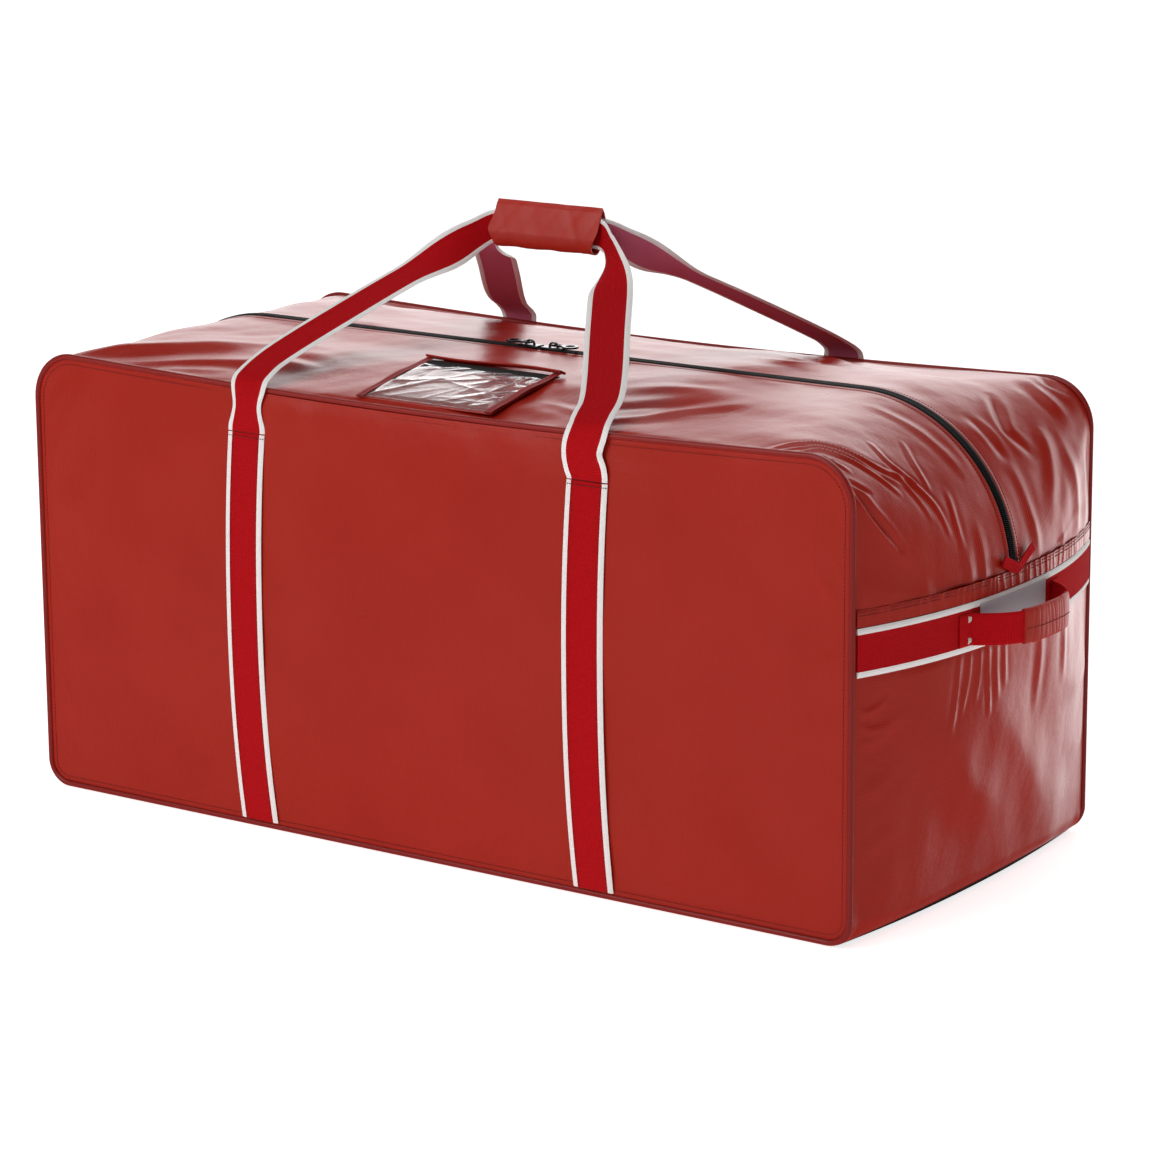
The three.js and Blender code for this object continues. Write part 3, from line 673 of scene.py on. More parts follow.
def grained(name, hex_colour, roughness, metallic=0.0, scale=400.0, strength=0.15, coat=0.0):
    """A moulded or lacquered skin: one colour with a fine grain in its gloss and its surface."""
    material, tree, shader = new_material(name, {"Metallic": metallic, "Coat Weight": coat})
    place = add(tree, "ShaderNodeTexCoord")
    grain = add(tree, "ShaderNodeTexNoise", {"Scale": scale, "Detail": 4.0},
                Vector=place.outputs["Object"])
    dark, light = shades(hex_colour, 0.8, 1.2)
    tint = add(tree, "ShaderNodeMix", {"data_type": "RGBA", 6: dark, 7: light}, _0=grain.outputs[0])
    tree.links.new(tint.outputs[2], shader.inputs["Base Color"])
    rubbed = add(tree, "ShaderNodeMapRange",
                 {"To Min": roughness * 0.8, "To Max": min(1.0, roughness * 1.2)},
                 Value=grain.outputs[0])
    tree.links.new(rubbed.outputs[0], shader.inputs["Roughness"])
    bump = add(tree, "ShaderNodeBump", {"Strength": strength, "Distance": 0.0003},
               Height=grain.outputs[0])
    tree.links.new(bump.outputs[0], shader.inputs["Normal"])
    return material


def clear_vinyl(name):
    """Soft clear vinyl sheet: see-through, shiny, and faintly milky where it has been handled."""
    material, tree, shader = new_material(
        name, {"Base Color": linear("FFFDFD"), "Transmission Weight": 0.97, "IOR": 1.5})
    place = add(tree, "ShaderNodeTexCoord")
    haze = add(tree, "ShaderNodeTexNoise", {"Scale": 60.0, "Detail": 5.0},
               Vector=place.outputs["Object"])
    rubbed = add(tree, "ShaderNodeMapRange", {"To Min": 0.03, "To Max": 0.10}, Value=haze.outputs[0])
    tree.links.new(rubbed.outputs[0], shader.inputs["Roughness"])
    bump = add(tree, "ShaderNodeBump", {"Strength": 0.25, "Distance": 0.002}, Height=haze.outputs[0])
    tree.links.new(bump.outputs[0], shader.inputs["Normal"])
    return material


_made = {}


def finish_of(kind):
    """Makes each material once and keeps it by its maker's name."""
    if kind in _made:
        return _made[kind]
    c, s = colours(), sizes()
    makers = {
        "vinyl coated polyester": lambda n: coated_fabric(n, c.coating),
        "piping vinyl": lambda n: coated_fabric(n, c.piping, roughness=0.38, weave=0.03),
        "grip vinyl": lambda n: coated_fabric(n, "B0281A", roughness=0.42, weave=0.05),
        # CF6A84 is a painted sheen of the back light on the loops' inner side.
        "polyester webbing": lambda n: woven_webbing(
            n, c.webbing, c.edge, s.webbing_width / 2, s.white_edge, "CF6A84"),
        "plain webbing": lambda n: woven_webbing(n, "BE0410", c.edge, 16, 0),
        "base cloth": lambda n: plain_weave(n, c.base, 0.75, 2.0),
        "backing cloth": lambda n: plain_weave(n, c.backing, 0.8, 1.0, 0.2),
        "binding tape": lambda n: plain_weave(n, "A2120F", 0.6, 1.4),
        "hook and loop": lambda n: grained(n, "141214", 0.95, scale=900.0, strength=0.9),
        "nylon coil": lambda n: grained(n, c.zip, 0.55, scale=700.0),
        "zip tape": lambda n: plain_weave(n, "140F0F", 0.85, 1.0),
        "black lacquered zinc": lambda n: grained(n, "1E1E20", 0.32, metallic=0.85, coat=0.5),
        "clear vinyl": clear_vinyl,
        "red thread": lambda n: plain_weave(n, "7E120E", 0.6, 0.6),
        "white thread": lambda n: plain_weave(n, "E8DAD2", 0.6, 0.6),
        "stiff board": lambda n: grained(n, "4A4A4C", 0.6),
    }
    _made[kind] = makers[kind](kind)
    return _made[kind]


# ---------------------------------------------------------------- pieces of the shell

BAND_TOP = BAND_HIGH[2]
END_TOP = BAND_TOP + 0.6
FACES = (("front", -1), ("rear", 1))
ENDS = (("left", -1), ("right", 1))
ZIP_EDGE = 7.0
QUARTER_LENGTH = 760


def over_mouth(piece):
    """Bakes a piece's object transform into its mesh."""
    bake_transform(piece)


# Folds of the top: places as (t along the gusset line, share of the way from the zip to the seam),
# then the width and the height in millimetres. A negative height is a crease.
FRONT_RIGHT_FOLDS = (
    (((0.45, 0.985), (0.49, 0.89), (0.55, 0.83), (0.65, 0.71), (0.70, 0.52)), 2.4, 2.3),
    (((0.46, 0.985), (0.52, 0.90), (0.60, 0.82), (0.67, 0.73), (0.70, 0.62)), 2.2, 1.8),
    (((0.48, 0.985), (0.54, 0.92), (0.60, 0.87), (0.69, 0.73), (0.72, 0.67)), 2.2, 2.4),
    (((0.50, 0.985), (0.57, 0.975), (0.62, 0.96), (0.66, 0.92)), 2.0, 1.6),
    (((0.61, 0.56), (0.65, 0.58), (0.69, 0.54), (0.74, 0.46), (0.78, 0.42)), 2.4, 2.0),
    (((0.63, 0.35), (0.67, 0.42), (0.71, 0.44)), 2.4, 1.6),
    (((0.66, 0.62), (0.71, 0.58), (0.76, 0.52)), 2.6, 1.3),
    (((0.72, 0.33), (0.76, 0.35), (0.80, 0.34)), 3.0, 1.2),
    (((0.73, 0.99), (0.76, 0.95), (0.79, 0.91), (0.84, 0.76)), 2.8, -3.4),
    (((0.70, 0.99), (0.72, 0.93), (0.73, 0.88)), 2.2, -1.8),
    (((0.77, 0.20), (0.84, 0.20), (0.93, 0.19)), 5.0, 1.3),
    (((0.80, 0.32), (0.87, 0.30), (0.95, 0.31)), 6.0, 1.2),
    (((0.55, 0.20), (0.62, 0.17), (0.70, 0.14)), 5.0, 1.2),
    (((0.86, 0.62), (0.91, 0.61), (0.97, 0.60)), 7.0, 1.0),
)
REAR_RIGHT_FOLDS = (
    (((0.60, 0.48), (0.63, 0.40), (0.665, 0.33), (0.71, 0.39)), 5.0, -2.8),
    (((0.63, 0.16), (0.66, 0.17), (0.70, 0.17)), 5.0, -2.2),
    (((0.68, 0.58), (0.73, 0.52), (0.79, 0.41)), 8.0, 2.4),
    (((0.72, 0.68), (0.80, 0.69), (0.88, 0.70), (0.96, 0.70)), 7.0, 1.8),
    (((0.71, 0.18), (0.78, 0.20), (0.85, 0.22)), 6.0, 1.6),
    (((0.52, 0.98), (0.57, 0.94), (0.64, 0.96)), 5.0, -3.0),
    (((0.55, 0.85), (0.62, 0.80), (0.70, 0.82)), 7.0, 2.4),
    (((0.84, 0.50), (0.90, 0.50), (0.97, 0.49)), 6.0, 1.2),
    (((0.82, 0.86), (0.90, 0.86), (0.97, 0.86)), 6.0, 1.2),
)
FRONT_LEFT_FOLDS = (
    (((0.66, 0.97), (0.60, 0.78), (0.52, 0.50), (0.44, 0.16)), 15.0, -1.6),
    (((0.57, 0.97), (0.51, 0.84), (0.42, 0.62), (0.30, 0.40)), 11.0, 3.0),
    (((0.47, 0.97), (0.42, 0.90), (0.34, 0.78), (0.24, 0.68)), 9.0, 2.4),
    (((0.39, 0.97), (0.36, 0.93), (0.30, 0.87)), 6.0, 1.5),
    (((0.53, 0.66), (0.46, 0.42), (0.38, 0.16)), 15.0, -1.8),
    (((0.31, 0.62), (0.27, 0.60), (0.22, 0.66)), 8.0, -2.4),
    (((0.80, 0.80), (0.88, 0.80), (0.96, 0.80)), 7.0, 1.6),
    (((0.78, 0.45), (0.87, 0.44), (0.96, 0.45)), 8.0, 1.6),
)
MOUTH_FOLDS = (
    (((0.22, 0.90), (0.27, 0.80), (0.33, 0.62), (0.39, 0.50)), 7.0, 2.2),
    (((0.21, 0.74), (0.27, 0.64), (0.34, 0.50)), 8.0, -2.2),
    (((0.21, 0.46), (0.28, 0.40), (0.36, 0.38)), 9.0, 1.8),
    (((0.13, 0.74), (0.16, 0.76), (0.21, 0.84)), 5.0, 1.2),
)


def quarter_folds(end, face):
    """The folds of one quarter of the top, and how deep they are there."""
    if end < 0:
        return FRONT_LEFT_FOLDS, 1.0 if face < 0 else 0.35
    return (FRONT_RIGHT_FOLDS if face < 0 else REAR_RIGHT_FOLDS) + MOUTH_FOLDS, 1.0


def quarter_grid(end, face, along, across):
    """The grid of one quarter of the top: along the gusset line by from the zip to the seam."""
    reach = SEAM_DEPTH - ZIP_EDGE

    def surface(t, share):
        return gusset(end, t, face * (ZIP_EDGE + reach * share), END_TOP + 0.6)

    t, share = grid_of(np.linspace(0, 1, along), np.linspace(0, 1, across))
    base = surface(t, share)
    normals = outward_normals(base)
    folds, depth_share = quarter_folds(end, face)
    shift = depth_share * folded(base, folds, surface)
    length = QUARTER_LENGTH * t
    depth = reach * share
    flat = 1 - smooth((t - 0.45) / 0.2)
    shift += 1.5 * flat * streaks(end * length, depth, 60 + int(face), 80)
    shift += 0.5 * (1 - flat) * streaks(depth, length, 80 + int(2 * end + face), 60, 0.5)
    shift += 1.2 * soft_noise(base, 190, 5) + 0.25 * soft_noise(base, 50, 9)
    held = smooth(share / 0.08) * smooth((1 - share) / 0.035) * smooth((1 - t) / 0.04)
    shift = np.clip(shift * sizes().wrinkles, -8, 6) * held
    hem = 0.9 * np.exp(-((depth - 1.5) / 2.0) ** 2)
    return base + normals * (shift + hem)[..., None], normals


class BAG_OT_top(bpy.types.Operator):
    """Makes the four quarters of the top, each in one cloth from the mouth to the end band"""

    bl_idname = "bag.top"
    bl_label = "Top and corners"

    def execute(self, context):
        fabric = finish_of("vinyl coated polyester")
        for facing, face in FACES:
            for side, end in ENDS:
                outer, normals = quarter_grid(end, face, 300, 116)
                piece = sheet_piece(f"{facing}_{side}_top_cloth", outer, sizes().fabric, fabric,
                                    normals)
                nodes = [f"{facing}_{side}_corner_panel"]
                if end > 0:
                    nodes.append(f"{facing}_top_flap")
                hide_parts(*nodes)
                hem = outer[:, 3] + normals[:, 3] * 0.1
                row = stitches(f"{facing}_{side}_zip_stitches", hem[2:-14], normals[2:-14, 3],
                               pitch=3.6, length=2.8, radius=0.32)
                for part in (piece, row):
                    over_mouth(part)
        return {"FINISHED"}


def panel_grid(face, columns, rows, inset):
    """Rows of a rounded rectangle: a quarter circle at each corner sets each row's half length."""
    s = sizes()
    low = PIPING_RADIUS + 0.4 + inset
    low_radius = s.base_corner - inset
    high_radius = s.seam_corner - inset
    high = SEAM_HEIGHT - inset
    half_row = HALF_LENGTH - inset
    bottom = np.linspace(0, np.pi / 2, 12)
    top = np.linspace(0, np.pi / 2, 18)
    z = np.concatenate([low + low_radius * (1 - np.cos(bottom)),
                        np.linspace(low + low_radius, high - high_radius, rows)[1:-1],
                        high - high_radius * (1 - np.sin(top))])
    half = np.concatenate([half_row - low_radius * (1 - np.sin(bottom)),
                           np.full(rows - 2, half_row),
                           half_row - high_radius * (1 - np.cos(top))])
    u = np.linspace(-1, 1, columns)
    u = np.sign(u) * (1 - (1 - np.abs(u)) ** 1.15)
    x = half[:, None] * u[None, :]
    z = np.broadcast_to(z[:, None], x.shape)
    rise = smooth((z - SEAM_HEIGHT / 2) / (high - SEAM_HEIGHT / 2))
    z = z - seam_sag(x) * rise
    return np.stack([x, face * (HALF_DEPTH + panel_out(x, z)), z], -1), half[:, None] - np.abs(x)


# Folds of a big panel: places as (x, z), then the width and the height in millimetres.
PANEL_FOLDS = (
    (((-500, 330), (-482, 372), (-458, 420), (-430, 462)), 13.0, 3.2),
    (((-500, 398), (-484, 420), (-462, 452)), 8.0, 1.8),
    (((-503, 300), (-470, 318), (-430, 322)), 12.0, 1.3),
    (((-504, 262), (-490, 240), (-476, 205)), 5.0, 1.5),
    (((-503, 140), (-490, 122), (-470, 84)), 5.0, 1.4),
    (((-500, 68), (-484, 50), (-458, 26)), 5.0, 1.2),
    (((-448, 462), (-450, 380), (-449, 290)), 5.0, 0.7),
    (((-434, 462), (-436, 360), (-436, 250)), 6.0, 0.6),
    (((440, 470), (462, 410), (486, 350)), 14.0, 1.5),
    (((500, 340), (486, 346), (462, 380)), 5.0, 1.3),
    (((503, 288), (486, 282), (470, 262)), 5.0, 1.3),
    (((503, 210), (485, 215), (450, 200)), 11.0, 0.9),
    (((500, 90), (480, 80), (450, 85)), 8.0, 0.8),
    (((-150, 466), (-140, 430), (-150, 390)), 10.0, 0.7),
    (((60, 466), (70, 430), (60, 380)), 12.0, 0.7),
    (((330, 466), (340, 430), (330, 390)), 10.0, 0.7),
)


def panel_surface(face, columns, rows):
    """The big panel with its folds, held still along its seams."""
    base, edge = panel_grid(face, columns, rows, PIPING_RADIUS - 0.6)
    normals = outward_normals(base)

    def surface(x, z):
        return np.stack([-face * x, 0 * x, z], -1)

    shift = folded(base * [1, 0, 1], PANEL_FOLDS, surface)
    shift += 1.3 * soft_noise(base, 260, 21 + face) + 0.25 * soft_noise(base, 80, 3 + face)
    from_seam = np.minimum(edge, np.minimum(SEAM_HEIGHT - base[..., 2], base[..., 2] - 4))
    shift = np.clip(shift * sizes().wrinkles, -5, 4) * smooth(from_seam / 30)
    return base + normals * shift[..., None], normals


class BAG_OT_panels(bpy.types.Operator):
    """Makes the front and rear panels"""

    bl_idname = "bag.panels"
    bl_label = "Front and rear panels"

    def execute(self, context):
        for facing, face in FACES:
            outer, normals = panel_surface(face, 220, 96)
            piece = sheet_piece(f"{facing}_cloth_panel", outer, sizes().fabric,
                                finish_of("vinyl coated polyester"), normals)
            settle(piece, "bag", "coated_fabric", f"{facing}_panel")
        return {"FINISHED"}


def seam_path(face, inset=0.0):
    """The closed line of a big panel's seam: two low corners, two high corners and a sagging top."""
    s = sizes()
    high_z = SEAM_HEIGHT - s.seam_corner
    low_z = PIPING_RADIUS + 0.4 + s.base_corner

    def arc(cx, cz, radius, start):
        angle = np.linspace(start, start + np.pi / 2, 16)
        turn = np.stack([np.cos(angle), np.sin(angle)], -1)
        return [cx, cz] + (radius - inset) * turn

    def straight(a, b, count):
        return np.linspace(a, b, count + 2)[1:-1]

    lower_right = arc(HALF_LENGTH - s.base_corner, low_z, s.base_corner, -np.pi / 2)
    upper_right = arc(HALF_LENGTH - s.seam_corner, high_z, s.seam_corner, 0)
    upper_left = arc(s.seam_corner - HALF_LENGTH, high_z, s.seam_corner, np.pi / 2)
    lower_left = arc(s.base_corner - HALF_LENGTH, low_z, s.base_corner, np.pi)
    x, z = np.concatenate([
        lower_right, straight(lower_right[-1], upper_right[0], 60), upper_right,
        straight(upper_right[-1], upper_left[0], 120), upper_left,
        straight(upper_left[-1], lower_left[0], 60), lower_left,
        straight(lower_left[-1], lower_right[0], 120)]).T
    rise = smooth((z - SEAM_HEIGHT / 2) / (SEAM_HEIGHT / 2))
    return np.stack([x, np.full_like(x, face * HALF_DEPTH), z - seam_sag(x) * rise], -1)


class BAG_OT_piping(bpy.types.Operator):
    """Makes the piping round the two big panels, with a row of stitches beside it"""

    bl_idname = "bag.piping"
    bl_label = "Piping"

    def execute(self, context):
        for facing, face in FACES:
            ring = loop_tube(f"{facing}_piping_cord", seam_path(face), PIPING_RADIUS - 0.3, 12,
                             finish_of("piping vinyl"))
            settle(ring, "bag", "piping", f"{facing}_piping")
            line = seam_path(face, inset=8.0)
            line = np.concatenate([line, line[:1]])
            line[:, 1] = face * (HALF_DEPTH + panel_out(line[:, 0], line[:, 2]) + 0.25)
            up = np.broadcast_to([0.0, float(face), 0.0], line.shape)
            row = stitches(f"{facing}_seam_stitches", line, up, pitch=4.0, length=3.0, radius=0.3)
            settle(row, "bag", "piping")
        return {"FINISHED"}


# Folds of an end: places as (y, z), with y towards the rear of the right-hand end.
END_FOLDS = (
    (((-92, 266), (-96, 228), (-104, 190)), 3.0, 1.5),
    (((-76, 266), (-79, 238), (-88, 208)), 2.6, 1.6),
    (((-60, 266), (-61, 240), (-66, 216)), 2.6, 1.5),
    (((-46, 266), (-45, 232), (-41, 198)), 2.6, 2.0),
    (((-31, 266), (-30, 240), (-26, 210)), 3.0, 1.3),
    (((-16, 266), (-14, 244), (-12, 220)), 3.0, 1.0),
    (((60, 266), (66, 226), (64, 180)), 6.0, 1.6),
    (((120, 266), (126, 230), (130, 196)), 5.0, 1.4),
    (((-226, 236), (-212, 232), (-192, 240)), 3.0, 1.5),
    (((-226, 222), (-210, 214), (-188, 216)), 3.0, 1.2),
    (((-226, 200), (-200, 206), (-170, 226)), 6.0, 1.2),
    (((-226, 150), (-200, 156), (-176, 172)), 7.0, 1.0),
    (((-222, 90), (-196, 100), (-170, 112)), 8.0, 1.0),
    (((-110, 190), (-60, 130), (20, 80)), 20.0, 2.4),
    (((-20, 200), (40, 140), (120, 60)), 22.0, 2.4),
    (((226, 190), (188, 176), (150, 178)), 9.0, 1.3),
    (((226, 120), (190, 108), (150, 120)), 13.0, 1.0),
)


CLOTH_LOW = 4.4


def on_end(end, y, z, lift=0.0):
    """Points on the bulge of one end, a lift along X outside it, and their outward normals."""
    base = np.stack([end * (end_x(y, z) + lift), y, z], -1)
    return base, outward_normals(base)


class BAG_OT_ends(bpy.types.Operator):
    """Makes the lower end panels and the base"""

    bl_idname = "bag.ends"
    bl_label = "Ends and base"

    def execute(self, context):
        s = sizes()
        for side, end in ENDS:
            y, z = grid_of(np.linspace(-SEAM_DEPTH, SEAM_DEPTH, 220),
                           np.concatenate([np.linspace(CLOTH_LOW, s.base_corner, 16)[:-1],
                                           np.linspace(s.base_corner, END_TOP, 130)]))
            under = np.maximum(0, s.base_corner - z)
            tucked = s.base_corner - np.sqrt(s.base_corner ** 2 - under ** 2)
            base, normals = on_end(end, y, z, -tucked)

            def surface(v, w):
                return np.stack([end * end_x(v, w), end * v, w], -1)

            shift = folded(base, END_FOLDS, surface)
            shift += 1.0 * streaks(z, y * end, 90 + int(end), 80, 0.4)
            shift += 1.4 * soft_noise(base, 210, 31 + int(end))
            shift += 0.3 * soft_noise(base, 70, 8 + int(end))
            edge = np.minimum(SEAM_DEPTH - np.abs(y), z - CLOTH_LOW)
            held = smooth(edge / 16) * (0.15 + 0.85 * smooth((BAND_LOW[2] + 2 - z) / 10))
            shift = np.clip(shift * s.wrinkles, -6, 5) * held
            piece = sheet_piece(f"{side}_end_cloth", base + normals * shift[..., None], s.fabric,
                                finish_of("vinyl coated polyester"), normals)
            settle(piece, "bag", "coated_fabric", f"{side}_end_panel")
        y = np.linspace(-SEAM_DEPTH, SEAM_DEPTH, 60)[None, :]
        angle = np.linspace(0.55, 0, 8)[:, None]
        out = end_x(y, s.base_corner) - s.base_corner
        up_x = out + s.base_corner * np.sin(angle)
        up_z = s.base_corner * (1 - np.cos(angle)) + 0 * y
        flat_x = np.linspace(1, -1, 60)[1:-1, None] * out
        x = np.concatenate([up_x, flat_x, -up_x[::-1]])
        z = np.concatenate([up_z, np.zeros_like(flat_x), up_z[::-1]])
        outer = np.stack([x, np.broadcast_to(y, x.shape), z], -1)
        normals = grid_normals(outer)
        normals = normals if normals[len(normals) // 2, 30, 2] < 0 else -normals
        piece = sheet_piece("base_cloth", outer, 2.4, finish_of("base cloth"), normals)
        settle(piece, "bag", "base_fabric", "base_panel")
        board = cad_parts["base_board"]
        board.data.materials.clear()
        board.data.materials.append(finish_of("stiff board"))
        return {"FINISHED"}


# ---------------------------------------------------------------- zip

ZIP_END_T = FLAT_END + ARC_SHARE * 86.0 / 90.0
COIL_PITCH = 1.9


def tooth_shape():
    """One turn of nylon coil: a flat bar bent over at its head, as a box with a raised nose."""
    outline = np.array([(0.15, -1.4), (6.2, -1.4), (6.5, 0.4), (5.4, 2.0), (1.2, 2.7), (-0.35, 1.7),
                        (-0.45, -0.2)])
    corners = len(outline)
    front = np.stack([outline[:, 0], np.full(corners, -0.42), outline[:, 1]], -1)
    points = np.concatenate([front, front * [1, -1, 1]])
    faces = [tuple(range(corners)), tuple(range(2 * corners - 1, corners - 1, -1))]
    faces += [(k, k + corners, (k + 1) % corners + corners, (k + 1) % corners)
              for k in range(corners)]
    return points, [f[::-1] for f in faces]


class BAG_OT_zip(bpy.types.Operator):
    """Makes the zip: coil and tape on each side, with the tabs that cover its ends"""

    bl_idname = "bag.zip"
    bl_label = "Zip"

    def execute(self, context):
        for facing, face in FACES:
            for side, end in ENDS:
                self.half(facing, face, side, end)
        self.tabs()
        return {"FINISHED"}

    def half(self, facing, face, side, end):
        """Coil and tape of one side of the zip, from the middle of the bag to its end."""
        line = gusset(end, np.linspace(0, ZIP_END_T, 400), 0.0, END_TOP)
        ahead = unit(np.gradient(line, axis=0))
        out = np.cross(ahead, [0.0, 1.0, 0.0])
        out *= np.sign(np.sum(out * (line - [0, 0, 240]), -1, keepdims=True))
        distance = travelled(line)
        first = COIL_PITCH * (0.25 if face < 0 else 0.75)
        places = np.arange(first, distance[-1], COIL_PITCH)
        up = sampled(places, distance, out)
        lateral = np.broadcast_to([0.0, float(face), 0.0], up.shape)
        shape, faces = tooth_shape()
        coil = copies(f"{facing}_{side}_zip_coil", shape, faces,
                      sampled(places, distance, line) - up * 0.3, lateral, np.cross(up, lateral), up,
                      finish_of("nylon coil"), 30)
        t, tape_y = grid_of(np.linspace(0, ZIP_END_T, 160), face * np.linspace(0.8, 17.5, 8))
        tape = gusset(end, t, tape_y, END_TOP)
        normals = outward_normals(tape)
        tape = sheet_piece(f"{facing}_{side}_zip_tape", tape - normals * 2.2, 0.7,
                           finish_of("zip tape"), normals)
        for piece in (coil, tape):
            over_mouth(piece)
        nodes = [f"{facing}_{side}_zip_half"] + ([f"{facing}_flap_zip_half"] if end > 0 else [])
        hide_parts(*nodes)

    def tabs(self):
        """At each end, a webbing strip folded to a V and a scrap of cloth that closes the slot."""
        run = np.linspace(-1, 1, 70)
        for side, end in ENDS:
            y = 27 * run + 4
            z = 333 + 13 * np.sqrt(run ** 2 + 0.015) + 5 * np.maximum(0, run) ** 1.5
            lifted = 3.2 - 1.2 * run ** 2 + 5.0 * np.maximum(0, run - 0.3) ** 2
            centre = np.stack([end * (HALF_LENGTH + sizes().end_bulge + lifted), y, z], -1)
            across = np.stack([0 * run + end * 0.10, -0.40 * run, np.ones_like(run)], -1)
            tab = ribbon_piece(f"{side}_zip_end_webbing", centre, across, 11.5, 1.7,
                               finish_of("plain webbing"))
            settle(tab, "bag", "webbing", f"{side}_zip_end_tab")
            y, z = grid_of(np.linspace(-ZIP_EDGE + 0.2, ZIP_EDGE - 0.2, 9),
                           np.linspace(END_TOP + 0.4, 344, 20))
            outer, _ = on_end(end, y, z, 0.1 - 0.004 * np.maximum(0, z - 324) ** 2)
            scrap = sheet_piece(f"{side}_zip_end_cloth", outer, 1.2,
                                finish_of("vinyl coated polyester"))
            settle(scrap, "bag", "coated_fabric")


# ---------------------------------------------------------------- bands and grab handles

def strip_on_end(end, z_low, z_high, rows, columns, lift, puckers=0.0, seed=0):
    """A strip across one end, laid a lift above its surface, with gathers if asked."""
    y, z = grid_of(np.linspace(-SEAM_DEPTH + 0.6, SEAM_DEPTH - 0.6, rows),
                   np.linspace(z_low, z_high, columns))
    base, normals = on_end(end, y, z)
    shift = np.full(base.shape[:2], lift)
    if puckers:
        rng = np.random.default_rng(seed)
        places = np.cumsum(rng.uniform(6, 15, 60)) - SEAM_DEPTH
        for place in places[places < SEAM_DEPTH - 6]:
            lean = rng.uniform(-0.25, 0.25)
            width = rng.uniform(1.6, 3.2)
            deep = puckers * rng.uniform(0.4, 1.2) * (0.35 + 0.65 * np.exp(-(place / 110) ** 2))
            shift = shift + deep * np.exp(-((y - place - lean * (z - z_low)) / width) ** 2)
    return base + normals * shift[..., None], normals


GRAB_REACH, BARTACK_Y = 80.0, 83.0
GRAB_LEVEL = (GRAB_LOW[2] + GRAB_HIGH[2]) / 2
GRAB_WIDTH = GRAB_HIGH[2] - GRAB_LOW[2]


def grab_line(end, y):
    """A grab handle in plan: it leaves the band at its bartacks and bows out, 1 - (|y| / 80)^3.5."""
    bow = GRAB_HIGH[0] - BAND_HIGH[0] - 2.6
    out = np.maximum(0, 1 - (np.abs(y) / GRAB_REACH) ** 3.5)
    x = end * (end_x(y, GRAB_LEVEL) + 3.4 + bow * out)
    return np.stack([x, y, np.full_like(y, GRAB_LEVEL)], -1)


